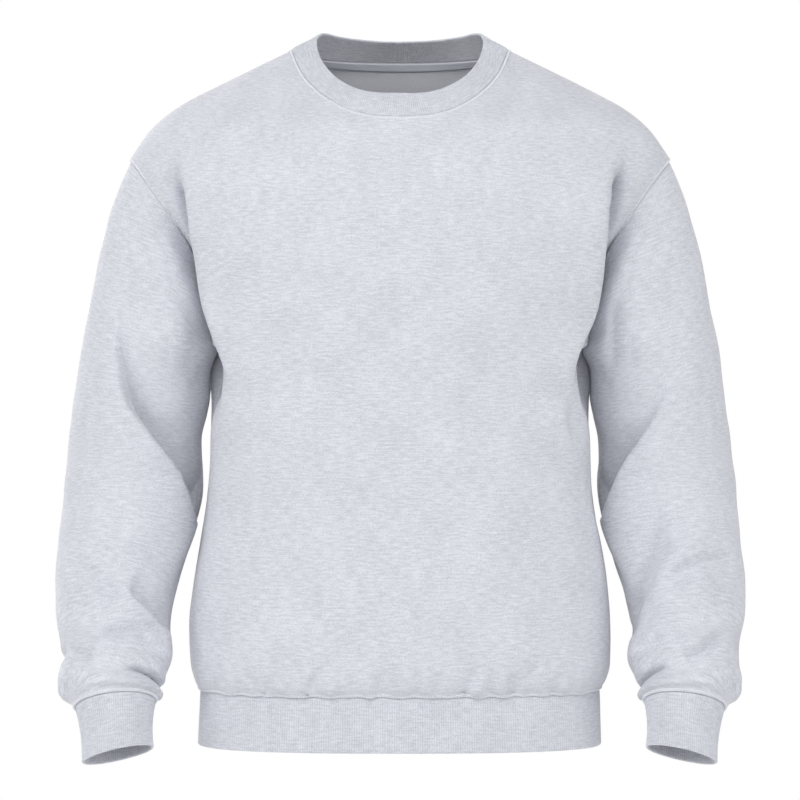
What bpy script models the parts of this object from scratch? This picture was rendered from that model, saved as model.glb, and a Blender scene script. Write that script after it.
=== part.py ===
"""Crewneck sweatshirt of fleece-backed jersey, filled out in its worn shape with nobody in it.

Sizes in the tables are millimetres; the meshes are made in metres, +Z up. The origin is the middle of
the neck at the height of the side neck seams, the front faces -Y and the wearer's left is +X.

Each cut piece is a thin closed wall. A panel or a sleeve is a grid of points on the middle of its cloth;
the outer and inner faces lie half a thickness to each side along the cloth's normals. Where two pieces
are sewn together they share the points and normals of their seam, and each stops SEAM_GAP / 2 short.
"""

import math

import bmesh
import bpy
import numpy as np

MM = 0.001

# Driving sizes
JERSEY = 2.0            # thickness of the fleece-backed jersey
RIB_CLOTH = 2.4         # thickness of the folded rib knit
RIB_PITCH = 2.25        # from one rib to the next
RIB_HEIGHT = 0.45       # a rib above the groove beside it
SEAM_GAP = 0.3          # between the edges of two pieces
TAPE = 1.0              # thickness of the neck tape
TAPE_WIDTH = 9.0
TAPE_START = 1.5        # neck tape below the neck seam
HEM_HEIGHT = -690.0     # lower edge of the waistband
HEM_FLARE = 1.018       # lower edge of the waistband against its seam
SHOULDER_TIP = (268.0, -112.0)      # x and z where the shoulder seam meets the sleeve
SHOULDER_BEND = 1.15    # 1 spaces the shoulder seam's points evenly in height, more gathers them at the neck
ARMPIT = (190.5, -294.0)
ARMHOLE_BOW = {"front": 22.0, "back": 20.0}    # how far its middle is cut towards the chest
CUFF_LENGTH = 55.0
CUFF_TAPER = 0.93       # lower edge of a cuff against its seam
CUFF_LEAN = (-4.0, -18.5, -52.0)    # the way a cuff runs on from its seam, on the +X side
COLLAR_LOOK_UP = 30.0   # how much the collar's outer face looks up beside the distance out
SIDES = {"right": -1, "left": 1}

# Grid sizes
SIDE_ROWS = 10          # rows from the waist seam to the armpit
TIP_TURN = 7            # a row next to the shoulder tip, in degrees of the armhole
ARMHOLE_TURNS = (0, TIP_TURN) + tuple(range(15, 181, 15))
ARMHOLE_ROWS = len(ARMHOLE_TURNS) - 1
SHOULDER_COLUMNS = 6
NECK_COLUMNS = 12
COLUMNS = 2 * SHOULDER_COLUMNS + NECK_COLUMNS
NECK_SPAN = slice(SHOULDER_COLUMNS, SHOULDER_COLUMNS + NECK_COLUMNS + 1)    # the neck seam in the top row
SLEEVE_RINGS = 24
SLEEVE_END = 15         # the last row of the sleeve table
SIDE_BIAS = 0.55        # 0 spaces columns evenly, 1 gathers them at the sides
END_BIAS = 0.08         # gathers the side rows at the waist seam and the armpit
SECTION_POINTS = 721    # points on half a cross-section when it is measured
SECTION_CROWDING = 0.8  # below 1 puts more of those points at the middle
ARMPIT_TUCK = 2.2       # the body's cloth is drawn in beside the armpit, clear of the sleeve
ARMPIT_REACH = 24.0
TOP_ROW = 12.0          # the last row's distance from the shoulder and neck seams
BODY_TOP = -0.1         # the body's sections are measured below this height
GRADIENT_STEP = 0.05
SETTLE_STEPS = 30
SETTLE_LIMIT = 6.0      # longest move in one step
SHARP_ANGLE = 50.0      # edges that turn by more are shaded sharp

# Cross-sections of the body. A section is a rounded rectangle: |x/half_width|^squareness +
# |y/depth|^squareness = 1, with its own depth in front and behind.
BODY = {
    "height":      (0, -10, -28, -43, -56, -67, -79, -95, -110, -124, -145, -172, -203, -230,
                    -255, -277, -294, -312, -360, -410, -450, -490, -530, -570, -600, -620, -630, -636),
    "half_width":  (108, 128, 164.5, 194.5, 218.5, 234.5, 247.5, 259.5, 268, 266.5, 254.5, 237, 220, 209,
                    199.5, 192.8, 190.5, 188.5, 188.5, 188, 192, 198.5, 205, 209, 209, 206.5, 202.5, 197.5),
    "front":       (6, 26, 47, 62, 75, 85, 94, 101.5, 107, 111, 115.5, 119, 121, 121.5,
                    121, 120, 119, 118, 115.5, 113.5, 113, 114, 116, 118, 119, 117, 113, 107),
    "back":        (80, 86, 91, 95, 98.5, 101, 103, 105, 107, 108.5, 110, 111, 110.5, 109,
                    107, 105.5, 104.5, 103, 99, 97, 97, 98.5, 101.5, 105.5, 107.5, 106, 102.5, 97),
    "squareness":  (2, 2, 2, 2, 2, 2.05, 2.1, 2.1, 2.15, 2.2, 2.25, 2.35, 2.4, 2.4,
                    2.45, 2.5, 2.5, 2.5, 2.6, 2.7, 2.7, 2.7, 2.7, 2.7, 2.7, 2.7, 2.7, 2.7),
}

# The neck from centre front (turn 0) over the side (90) to centre back (180): its seam on the body, which
# takes its depth from the body's sections, and the free rim of the collar.
NECK = {
    "turn":   (0, 15, 30, 45, 60, 72, 82, 90, 97, 110, 130, 150, 165, 180),
    "seam_x": (0, 26, 49, 69, 84, 96, 104, 108, 107.4, 101, 80, 50, 26, 0),
    "seam_z": (-74.2, -72.5, -66.6, -55.7, -42.8, -28, -11.5, 0, -0.3, -0.7, -1.2, -1.7, -1.9, -2),
    "rim_x":  (0, 20, 40, 58, 71, 79, 82.5, 83, 81.5, 76.5, 60, 35, 18, 0),
    "rim_y":  (-80, -79, -73, -61, -44, -27, -10, 3, 13, 27, 47, 58, 61, 62),
    "rim_z":  (-50, -49.5, -45.5, -36, -23, -9.5, 3, 10, 16, 20.5, 19.5, 17.5, 16.8, 16.5),
}

# Rings of a sleeve from the armhole (along 0) to the cuff seam (along 15): the outer and inner points of
# the ring, how far back its middle lies, and half its depth.
SLEEVE = {
    "along":      tuple(range(SLEEVE_END + 1)),
    "outer_x":    (269, 286, 298, 307, 316, 323, 329, 333,
                   336, 339, 341, 339, 334, 332, 333, 316),
    "outer_z":    (-112, -152, -197, -240, -284, -330, -372, -412,
                   -450, -492, -531, -563, -588, -609, -626, -648),
    "inner_x":    (190.5, 195, 197, 197, 193.5, 198, 201, 200,
                   204, 212, 223, 228, 225, 231, 235, 240),
    "inner_z":    (-294, -309, -323, -337, -350, -366, -387, -419,
                   -456, -499, -539, -573, -600, -617, -634, -645),
    "middle_y":   (-2, 4, 8, 12, 15, 17, 17, 13,
                   4, -9, -24, -37, -47, -55, -61, -68),
    "half_depth": (50, 56, 60, 62, 63, 63, 62, 61,
                   60, 59, 57, 55, 53, 51, 49, 38),
}
ARMHOLE_REACH = 5.0     # rings over which the armhole's own outline dies away

# Folds of the panels: a crest along (x, z) points, its height off the cloth (below zero for a trough), and
# how wide it falls away on its outer and inner side.
FOLD_AIM = (0.0, 1.0, 0.4)      # the panels' folds stand forward or back, not to the side
FOLD_END = {"panel": 0.3, "sleeve": 0.25}      # the share of a crest over which it starts or dies away
CREST_POINTS = 40
SEAM_EASE = 7.0         # a panel's folds die away over this distance from its seams
TOP_EASE = 21.0         # and over this one from the shoulder and neck seams
SLEEVE_EASE = (0.5, 0.8)        # rings over which a sleeve's folds die away, at the armhole and the cuff
FOLD_COLUMNS = ("face", "path", "height", "outer_fall", "inner_fall")
PANEL_FOLDS = (
    ("front", ((-222, -112), (-212, -160), (-206, -200), (-200, -235), (-193, -262), (-176, -306)),
     21, 7, 62),
    ("front", ((222, -106), (211, -160), (206, -200), (200, -235), (188, -270), (162, -330)),
     23, 7, 60),
    ("front", ((-150, -300), (-120, -420), (-60, -560)), 4, 40, 55),
    ("front", ((150, -340), (120, -450), (95, -560)), 4, 45, 50),
    ("front", ((-158, -600), (-128, -632)), 4, 14, 10),
    ("front", ((66, -598), (52, -632)), -4, 12, 12),
    ("front", ((-80, -602), (-88, -632)), -4, 12, 12),
    ("back", ((-214, -130), (-206, -190), (-196, -245), (-176, -310)), 15, 9, 55),
    ("back", ((212, -135), (205, -195), (194, -250), (172, -315)), 16, 9, 55),
    ("back", ((-70, -120), (-45, -300), (-60, -500)), -5, 45, 45),
    ("back", ((84, -110), (60, -290), (48, -480)), -4, 40, 48),
    ("back", ((-120, -590), (-105, -632)), -4, 14, 12),
    ("back", ((30, -585), (44, -632)), 4, 14, 12),
    ("back", ((135, -595), (120, -632)), -4, 13, 13),
)

# Folds of the sleeves: a crest along (ring, degrees round) points, where 0 is the outer side, 90 the front,
# 180 the side at the body and 270 the back. It falls away steeply towards more degrees, softly the other way.
RING_LENGTH = 32.0      # from one row of the sleeve table to the next
DEGREE_LENGTH = 1.05    # round a sleeve
SLEEVE_FOLD_COLUMNS = ("path", "height", "steep_fall", "soft_fall")
SLEEVE_FOLDS = {
    "right": (
        (((3.2, 72), (6.2, 88), (7.6, 112), (8.9, 150)), 7, 9, 34),
        (((1.5, 140), (3.2, 135), (5.2, 128)), -8, 20, 22),
        (((9.3, 40), (10.6, 85)), 4, 14, 22),
        (((11.0, 150), (11.9, 110), (12.3, 82)), -6, 9, 10),
        (((12.7, 150), (12.9, 105), (13.5, 70)), 6, 8, 12),
        (((12.0, 20), (12.7, 50)), -5, 9, 9),
        (((2.2, 300), (4.6, 262), (6.8, 232)), 6, 20, 30),
        (((7.2, 190), (8.0, 240), (8.8, 290)), -6, 14, 20),
        (((11.2, 200), (12.2, 245), (12.4, 300)), -6, 10, 12),
        (((13.0, 190), (13.2, 240), (13.0, 330)), 5, 9, 11),
    ),
    "left": (
        (((4.6, 60), (6.6, 82), (7.7, 105), (8.8, 140)), 7, 9, 34),
        (((1.3, 138), (3.2, 133), (5.4, 126)), -8, 20, 22),
        (((1.5, 100), (3.2, 108)), 4, 22, 18),
        (((10.2, 30), (10.9, 80), (11.2, 110)), 4, 12, 20),
        (((11.4, 140), (12.0, 105)), -5, 9, 10),
        (((12.8, 160), (12.9, 120), (13.4, 85)), 6, 8, 12),
        (((12.5, 95), (13.2, 60)), -4, 8, 9),
        (((2.4, 295), (4.4, 258), (6.6, 228)), 6, 22, 28),
        (((7.4, 195), (8.2, 245), (9.0, 295)), -6, 14, 20),
        (((11.4, 205), (12.0, 250), (12.6, 305)), -6, 10, 12),
        (((13.1, 195), (13.3, 250), (12.9, 340)), 5, 9, 11),
    ),
}

# Colours of the cloth, linear
ASH_GREY = (0.70, 0.72, 0.80, 1.0)
RIB_GREY = (0.66, 0.68, 0.75, 1.0)
TAPE_GREY = (0.60, 0.62, 0.70, 1.0)
ROUGHNESS = 0.95


# Curves and directions

def smooth(table, key, column, at):
    """The table's column at the given places of its key column, along a smooth curve through its rows."""
    places = np.asarray(table[key], dtype=float)
    values = np.asarray(table[column], dtype=float)
    if places[0] > places[-1]:
        places, values = places[::-1], values[::-1]
    slopes = np.gradient(values, places)
    at = np.clip(np.asarray(at, dtype=float), places[0], places[-1])
    row = np.clip(np.searchsorted(places, at, side="right") - 1, 0, len(places) - 2)
    span = places[row + 1] - places[row]
    t = (at - places[row]) / span
    before, after = values[row], values[row + 1]
    leave, arrive = slopes[row] * span, slopes[row + 1] * span
    return (before * (1 + 2 * t) * (1 - t) ** 2 + leave * t * (1 - t) ** 2
            + after * t * t * (3 - 2 * t) + arrive * t * t * (t - 1))


def curve_through(points, count):
    """Points on a smooth curve through the given ones."""
    points = np.asarray(points, dtype=float)
    table = {"key": np.arange(len(points))}
    places = np.linspace(0, len(points) - 1, count)
    columns = []
    for axis in range(points.shape[1]):
        table["value"] = points[:, axis]
        columns.append(smooth(table, "key", "value", places))
    return np.stack(columns, axis=1)


def unit(vectors):
    return vectors / np.maximum(np.linalg.norm(vectors, axis=-1, keepdims=True), 1e-9)


def ease(t):
    """A soft step from 0 to 1."""
    t = np.clip(t, 0.0, 1.0)
    return t * t * (3 - 2 * t)


def travelled(points, axis):
    """How far each point of a grid lies from its first row (axis 0) or column (axis 1) along the cloth."""
    steps = np.linalg.norm(np.diff(points, axis=axis), axis=-1)
    return np.concatenate([np.zeros_like(steps.take([0], axis)), np.cumsum(steps, axis=axis)], axis=axis)


def facing(normals, outward):
    """The normals, turned round where they look against the rough outward directions."""
    side = np.sign(np.sum(normals * outward, axis=-1, keepdims=True))
    return normals * np.where(side == 0, 1, side)


# The body

def body_point(x, z, face):
    """The point of the body's cloth straight in front of or behind (x, z)."""
    width = smooth(BODY, "height", "half_width", z)
    depth = smooth(BODY, "height", face, z)
    power = smooth(BODY, "height", "squareness", z)
    left = np.clip(1 - np.abs(x / width) ** power, 0.0, 1.0)
    sign = -1.0 if face == "front" else 1.0
    return np.stack(np.broadcast_arrays(x, sign * depth * left ** (1 / power), z), axis=-1)


def body_measure(points, face):
    """How far out each point lies, 1 on the body's cloth, and the gradient of that measure."""
    def measure(x, y, z):
        power = smooth(BODY, "height", "squareness", z)
        across = np.abs(x) / smooth(BODY, "height", "half_width", z)
        along = np.abs(y) / smooth(BODY, "height", face, z)
        return (across ** power + along ** power) ** (1 / power)

    x, y = points[..., 0], points[..., 1]
    z = np.minimum(points[..., 2], BODY_TOP)
    step = GRADIENT_STEP
    gradient = np.stack([
        measure(x + step, y, z) - measure(x - step, y, z),
        measure(x, y + step, z) - measure(x, y - step, z),
        measure(x, y, z + step) - measure(x, y, z - step)], axis=-1) / (2 * step)
    return measure(x, y, z), gradient


def body_normal(points, face):
    """The outward direction of the body's cloth at points on it."""
    return unit(body_measure(points, face)[1])


def settle(points, face):
    """The points moved straight out or in until they lie on the body's cloth."""
    for _ in range(SETTLE_STEPS):
        value, gradient = body_measure(points, face)
        steepness = np.sum(gradient ** 2, axis=-1)
        step = ((value - 1) / steepness)[..., None] * gradient
        length = np.linalg.norm(step, axis=-1, keepdims=True)
        points = points - step * np.minimum(1, SETTLE_LIMIT / np.maximum(length, 1e-9))
    return points


def column_spacing():
    """Where the columns cross a section, from -1 at one side to 1 at the other."""
    even = np.linspace(-1, 1, COLUMNS + 1)
    return (1 - SIDE_BIAS) * even + SIDE_BIAS * np.sin(even * math.pi / 2)


def section_x(z, face, spacing):
    """The x of each column on the section at z, measured along the cloth."""
    turn = np.linspace(-math.pi / 2, math.pi / 2, SECTION_POINTS)
    width = smooth(BODY, "height", "half_width", z)
    x = width * np.sign(turn) * np.abs(np.sin(turn)) ** SECTION_CROWDING
    points = body_point(x, np.full_like(x, z), face)
    length = np.concatenate([[0], np.cumsum(np.linalg.norm(np.diff(points, axis=0), axis=1))])
    return np.interp((spacing + 1) / 2, length / length[-1], x)


def armhole(turn, face, side):
    """A point of the armhole: turn 0 is the shoulder tip, 90 its middle and 180 the armpit."""
    turn = np.radians(turn)
    middle_x = (SHOULDER_TIP[0] + ARMPIT[0]) / 2
    middle_z = (SHOULDER_TIP[1] + ARMPIT[1]) / 2
    x = middle_x + (SHOULDER_TIP[0] - ARMPIT[0]) / 2 * np.cos(turn)
    x = x - ARMHOLE_BOW[face] * np.sin(turn) ** 2
    z = middle_z + (SHOULDER_TIP[1] - ARMPIT[1]) / 2 * np.cos(turn)
    width = smooth(BODY, "height", "half_width", z)
    x = np.where((turn < 1e-6) | (turn > math.pi - 1e-6), width, np.minimum(x, width))
    return body_point(side * x, z, face)


def neck_seam(turn, side):
    """A point of the neck seam, on the body's cloth."""
    x = side * smooth(NECK, "turn", "seam_x", turn)
    z = smooth(NECK, "turn", "seam_z", turn)
    front = body_point(x, z, "front")
    back = body_point(x, z, "back")
    return np.where((np.asarray(turn) <= 90)[..., None], front, back)


def neck_rim(turn, side):
    """A point of the collar's free rim."""
    x = side * smooth(NECK, "turn", "rim_x", turn)
    return np.stack([x, smooth(NECK, "turn", "rim_y", turn), smooth(NECK, "turn", "rim_z", turn)], axis=-1)


def shoulder_seam(part, side):
    """A point of the shoulder seam: part 0 is the shoulder tip and 1 the neck."""
    z = SHOULDER_TIP[1] * (1 - part) ** SHOULDER_BEND
    x = smooth(BODY, "height", "half_width", z)
    return np.stack([side * x, np.zeros_like(x), z], axis=-1)


def side_rows(face, spacing):
    """A panel's rows from the waist seam up to the armpits."""
    rows = []
    waist = BODY["height"][-1]
    for part in np.linspace(0, 1, SIDE_ROWS + 1):
        part = part - END_BIAS * math.sin(2 * math.pi * part)
        height = waist + (ARMPIT[1] - waist) * part
        x = section_x(height, face, spacing)
        rows.append(body_point(x, np.full_like(x, height), face))
    return rows


def top_row(face, across):
    """A panel's last row: one shoulder seam, the neck seam and the other shoulder seam."""
    shoulder = across[:SHOULDER_COLUMNS + 1] / across[SHOULDER_COLUMNS]
    centre = 0 if face == "front" else 180
    turns = np.linspace(90, centre, NECK_COLUMNS // 2 + 1)
    half = np.concatenate([shoulder_seam(shoulder, -1), neck_seam(turns, -1)[1:]])
    return np.concatenate([half, half[:-1][::-1] * (-1, 1, 1)])


def with_edge(row, turn, face):
    """The row with its two ends put on the armholes."""
    edge = armhole(np.array([turn]), face, -1)[0]
    row[0] = edge
    row[-1] = edge * (-1, 1, 1)
    return row


def armhole_rows(face, pit, top, across):
    """A panel's rows between the armpits and the top, bent to follow the armholes."""
    share = np.abs(1 - 2 * across)
    spread = np.stack([1 - 2 * across, share, ease(share)], axis=1)
    rows = []
    for turn in ARMHOLE_TURNS[-2:1:-1]:
        t = 1 - turn / 180
        bulge = armhole(np.array([turn]), face, -1)[0] - ((1 - t) * pit[0] + t * top[0])
        row = settle((1 - t) * pit + t * top + bulge * spread, face)
        rows.append(with_edge(row, turn, face))
    away = rows[-1] - top
    close = settle(top + away * TOP_ROW / np.linalg.norm(away, axis=1, keepdims=True), face)
    rows.append(with_edge(close, TIP_TURN, face))
    return rows


def draw_in_armpits(points):
    """The panel with its cloth drawn in beside each armpit, clear of the sleeve."""
    folded = points.copy()
    folded[..., 0] = np.abs(folded[..., 0])
    away = np.linalg.norm(folded - folded[SIDE_ROWS, -1], axis=-1)
    tuck = ARMPIT_TUCK * np.exp(-(away / ARMPIT_REACH) ** 2)
    tuck[SIDE_ROWS:, (0, -1)] = 0
    points[..., 0] -= tuck * np.sign(points[..., 0])
    return points


def panel_points(face):
    """The middle of a body panel's cloth: rows from the waist seam up, columns from -X to +X."""
    spacing = column_spacing()
    across = (spacing + 1) / 2
    rows = side_rows(face, spacing)
    top = top_row(face, across)
    rows += armhole_rows(face, rows[-1], top, across)
    rows.append(top)
    return draw_in_armpits(np.array(rows))


# The sleeves

def sleeve_ring(along, turns, side):
    """The points of a sleeve's ring; turn 0 is its outer side and 90 its front."""
    def value(column, at=along):
        return smooth(SLEEVE, "along", column, at)

    def middle(at):
        across = side * (value("outer_x", at) + value("inner_x", at)) / 2
        return np.array([across, value("middle_y", at), (value("outer_z", at) + value("inner_z", at)) / 2])

    outward = np.array([side * (value("outer_x") - value("inner_x")) / 2, 0.0,
                        (value("outer_z") - value("inner_z")) / 2])
    run = unit(middle(min(along + 0.5, SLEEVE_END)) - middle(max(along - 0.5, 0)))
    forward = facing(unit(np.cross(outward, run)), (0, -1, 0)) * value("half_depth")
    angle = np.radians(turns)[:, None]
    return middle(along) + outward * np.cos(angle) + forward * np.sin(angle)


def armhole_ring(turns, side):
    """The armhole as a sleeve's ring: its front half, then its back half."""
    front = armhole(np.minimum(turns, 180), "front", side)
    back = armhole(np.minimum(360 - turns, 180), "back", side)
    return np.where((turns <= 180)[:, None], front, back)


def sleeve_points(side):
    """The middle of a sleeve's cloth: rings from the armhole to the cuff seam."""
    back = tuple(360 - turn for turn in ARMHOLE_TURNS[-2:0:-1])
    turns = np.array(ARMHOLE_TURNS + back)
    start = armhole_ring(turns, side) - sleeve_ring(0.0, turns, side)
    places = np.linspace(0, SLEEVE_END, SLEEVE_RINGS + 1)
    rings = []
    for along in places:
        fade = max(0.0, 1 - along / ARMHOLE_REACH) ** 2
        rings.append(sleeve_ring(along, turns, side) + start * fade)
    return np.array(rings), places, turns


# Normals and folds

def grid_normals(points, outward, closed=False):
    """Normals of a grid of points; outward is a rough outward direction for each."""
    if closed:
        around = np.roll(points, -1, axis=1) - np.roll(points, 1, axis=1)
    else:
        around = np.gradient(points, axis=1)
    along = np.gradient(points, axis=0)
    return facing(unit(np.cross(along, around)), outward)


def ring_normals(points, direction, outward):
    """Normals of a closed ring whose cloth runs on in the given directions."""
    around = np.roll(points, -1, axis=0) - np.roll(points, 1, axis=0)
    return facing(unit(np.cross(around, direction)), outward)


def fold_profile(offset, outer_fall, inner_fall):
    """Height of a fold, from 1 at its crest to 0; offsets below zero lie on its outer side."""
    fall = np.where(offset < 0, outer_fall, inner_fall)
    return np.exp(-(offset / fall) ** 2)


def crest_distance(places, path, outer):
    """Signed distance of each place from a crest, and how far along the crest it lies, 0 to 1."""
    crest = curve_through(path, CREST_POINTS)
    gaps = places[..., None, :] - crest
    squared = np.sum(gaps ** 2, axis=-1)
    nearest = np.argmin(squared, axis=-1)
    run = unit(np.gradient(crest, axis=0))[nearest]
    gap = np.take_along_axis(gaps, nearest[..., None, None], axis=-2)[..., 0, :]
    side = np.sign(run[..., 1] * gap[..., 0] - run[..., 0] * gap[..., 1]) * outer
    distance = np.sqrt(np.min(squared, axis=-1))
    return distance * np.where(side == 0, 1, side), nearest / (CREST_POINTS - 1)


def fold_height(offset, part, height, outer_fall, inner_fall, end):
    """How far a fold lifts the cloth at an offset from its crest, part of the way along it."""
    taper = ease(part / end) * ease((1 - part) / end)
    return height * taper * fold_profile(offset, outer_fall, inner_fall)


def panel_push(points, face):
    """How far the folds lift each point of a body panel."""
    push = np.zeros(points.shape[:2])
    places = points[..., (0, 2)]
    for fold in PANEL_FOLDS:
        row = dict(zip(FOLD_COLUMNS, fold))
        if row["face"] == face:
            outer = -1 if row["path"][0][0] < 0 else 1
            offset, part = crest_distance(places, row["path"], outer)
            push += fold_height(offset, part, row["height"], row["outer_fall"], row["inner_fall"],
                                FOLD_END["panel"])
    across = travelled(points, 1)
    up = travelled(points, 0)
    inside = ease(across / SEAM_EASE) * ease((across[:, -1:] - across) / SEAM_EASE)
    return push * inside * ease(up / SEAM_EASE) * ease((up[-1:] - up) / TOP_EASE)


def sleeve_push(along, turns, folds):
    """How far the folds lift each point of a sleeve, on its grid of rings and degrees."""
    scale = np.array([RING_LENGTH, DEGREE_LENGTH])
    places = np.stack(np.meshgrid(along, turns, indexing="ij"), axis=-1) * scale
    push = np.zeros(places.shape[:2])
    for fold in folds:
        row = dict(zip(SLEEVE_FOLD_COLUMNS, fold))
        for shift in (-360, 0, 360):
            path = (np.asarray(row["path"], dtype=float) + (0, shift)) * scale
            offset, part = crest_distance(places, path, 1)
            push += fold_height(offset, part, row["height"], row["steep_fall"], row["soft_fall"],
                                FOLD_END["sleeve"])
    start, end = SLEEVE_EASE
    return push * ease(along / start)[:, None] * ease((SLEEVE_END - along) / end)[:, None]


def folded_panel(points, face):
    """A panel's middle points with its folds, and their normals."""
    outward = body_normal(points, face)
    points = points + outward * FOLD_AIM * panel_push(points, face)[..., None]
    return points, grid_normals(points, outward)


def folded_sleeve(name, side):
    """A sleeve's middle points with its folds, and their normals."""
    points, along, turns = sleeve_points(side)
    outward = points - points.mean(axis=1, keepdims=True)
    normals = grid_normals(points, outward, closed=True)
    points = points + normals * sleeve_push(along, turns, SLEEVE_FOLDS[name])[..., None]
    return points, grid_normals(points, outward, closed=True)


# Seams that pieces share

def body_normals_at(ring, on_back):
    """Normals of the body's cloth round a ring that runs over both panels."""
    return np.where(on_back[:, None], body_normal(ring, "back"), body_normal(ring, "front"))


def neck_rings():
    """The collar's seam and rim, each as points and normals, from centre front round by +X."""
    half = NECK_COLUMNS // 2 + 1
    turns = np.concatenate([np.linspace(0, 90, half), np.linspace(90, 180, half)[1:]])
    seam = np.concatenate([neck_seam(turns, 1), neck_seam(turns[1:-1][::-1], -1)])
    rim = np.concatenate([neck_rim(turns, 1), neck_rim(turns[1:-1][::-1], -1)])
    lift = (0, 0, COLLAR_LOOK_UP)
    stand = ring_normals(seam, rim - seam, seam * (1, 1, 0) + lift)
    shared = unit(body_normals_at(seam, seam[:, 1] > 1) + stand)
    return (seam, shared), (rim, ring_normals(rim, rim - seam, rim * (1, 1, 0) + lift))


def waist_rings(panels):
    """The waistband's seam and hem: the front panel's lowest row from -X, then the back's from +X."""
    front, back = panels["front"][0], panels["back"][0][1:-1][::-1]
    seam = np.concatenate([front, back])
    hem = seam * (HEM_FLARE, HEM_FLARE, 0) + (0, 0, HEM_HEIGHT)
    stand = ring_normals(seam, hem - seam, seam * (1, 1, 0))
    shared = unit(body_normals_at(seam, np.arange(len(seam)) >= len(front)) + stand)
    return (seam, shared), (hem, ring_normals(hem, hem - seam, hem * (1, 1, 0)))


def cuff_rings(sleeve, side):
    """A cuff's seam and rim, from the last ring of its sleeve."""
    points, normals = sleeve
    seam = points[-1]
    middle = seam.mean(axis=0)
    lean = unit(np.array(CUFF_LEAN) * (side, 1, 1))
    rim = middle + (seam - middle) * CUFF_TAPER + lean * CUFF_LENGTH
    shared = unit(ring_normals(seam, rim - seam, seam - middle) + normals[-1])
    return (seam, shared), (rim, ring_normals(rim, rim - seam, seam - middle))


def armhole_indices(face):
    """The places of a sleeve's first ring beside a panel's rows from the armpit up to the shoulder tip."""
    step = -1 if face == "front" else 1
    return (ARMHOLE_ROWS + step * np.arange(ARMHOLE_ROWS + 1)) % (2 * ARMHOLE_ROWS)


def share_panel_normals(normals, points, face, sleeves, neck_normals, waist_normals):
    """A panel's normals with those of its seams made common to it and the pieces beside it."""
    level = (1, 0, 1)
    for column, name in ((0, "right"), (-1, "left")):
        sides = points[:SIDE_ROWS + 1, column]
        normals[:SIDE_ROWS + 1, column] = body_normal(sides, face) * level
        sleeve_normals = sleeves[name][1][0][armhole_indices(face)]
        normals[SIDE_ROWS:, column] = unit(body_normal(points[SIDE_ROWS:, column], face) + sleeve_normals)
    for shoulder in (slice(1, SHOULDER_COLUMNS), slice(-SHOULDER_COLUMNS, -1)):
        normals[-1, shoulder] = unit(body_normal(points[-1, shoulder], face) * level)
    neck = np.arange(NECK_COLUMNS + 1) - NECK_COLUMNS // 2
    waist = np.arange(COLUMNS + 1)
    if face == "back":
        neck = NECK_COLUMNS - neck
        waist = -waist
    normals[-1, NECK_SPAN] = neck_normals[neck % (2 * NECK_COLUMNS)]
    normals[0] = waist_normals[waist % (2 * COLUMNS)]
    return unit(normals)


def share_sleeve_normals(normals, panels, side, cuff_normals):
    """A sleeve's normals with those of its armhole and cuff seam made common to it and its neighbours."""
    column = 0 if side < 0 else -1
    for face in ("back", "front"):
        normals[0, armhole_indices(face)] = panels[face][1][SIDE_ROWS:, column]
    normals[-1] = cuff_normals
    return normals


def seam_pull(line, beside, normals):
    """How a panel's edge moves back from its seam, along the cloth towards the line beside it."""
    run = unit(np.gradient(line, axis=0))
    return facing(unit(np.cross(run, normals)), beside - line) * SEAM_GAP / 2


def pulled_edges(points, normals):
    """A panel's points with all four edges drawn back from their seams."""
    pulled = points.copy()
    for edge, beside in ((0, 1), (-1, -2)):
        pulled[:, edge] += seam_pull(points[:, edge], points[:, beside], normals[:, edge])
        pulled[edge] += seam_pull(points[edge], points[beside], normals[edge])
    return pulled


# Solids

def new_object(name, vertices, faces, material):
    """A closed wall as an object of the garment's collection, its faces turned outwards."""
    mesh = bpy.data.meshes.new(name)
    mesh.from_pydata((np.asarray(vertices) * MM).tolist(), [], faces)
    body = bmesh.new()
    body.from_mesh(mesh)
    bmesh.ops.recalc_face_normals(body, faces=body.faces)
    body.to_mesh(mesh)
    body.free()
    mesh.shade_smooth()
    mesh.set_sharp_from_angle(angle=math.radians(SHARP_ANGLE))
    mesh.materials.append(material)
    piece = bpy.data.objects.new(name, mesh)
    bpy.data.collections["crewneck_sweatshirt"].objects.link(piece)
    return piece


def grid_faces(points, closed):
    """Triangles of a grid whose points are numbered row by row, each quad cut along its shorter diagonal."""
    rows, columns = points.shape[:2]
    flat = points.reshape(-1, 3)
    faces = []
    last = columns if closed else columns - 1
    for row in range(rows - 1):
        for column in range(last):
            after = (column + 1) % columns
            a, b = row * columns + column, row * columns + after
            c, d = b + columns, a + columns
            if np.linalg.norm(flat[a] - flat[c]) <= np.linalg.norm(flat[b] - flat[d]):
                faces += [(a, b, c), (a, c, d)]
            else:
                faces += [(a, b, d), (b, c, d)]
    return faces


def edge_loops(rows, columns, closed):
    """The closed lines of point numbers at the edges of a grid."""
    numbers = np.arange(rows * columns).reshape(rows, columns)
    if closed:
        return [list(numbers[row]) + [numbers[row, 0]] for row in (0, -1)]
    right, left = numbers[1:, -1], numbers[-2::-1, 0]
    return [list(numbers[0]) + list(right) + list(numbers[-1, -2::-1]) + list(left)]


def wall(name, points, normals, thickness, material, closed=False):
    """A thin closed wall round a grid of middle points; closed joins its last column to its first."""
    rows, columns = points.shape[:2]
    outer = (points + normals * thickness / 2).reshape(-1, 3)
    inner = (points - normals * thickness / 2).reshape(-1, 3)
    count = rows * columns
    faces = grid_faces(points, closed)
    faces += [tuple(corner + count for corner in reversed(face)) for face in faces]
    for loop in edge_loops(rows, columns, closed):
        for here, after in zip(loop, loop[1:]):
            faces.append((here, after, after + count, here + count))
    return new_object(name, np.concatenate([outer, inner]), faces, material)


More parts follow.
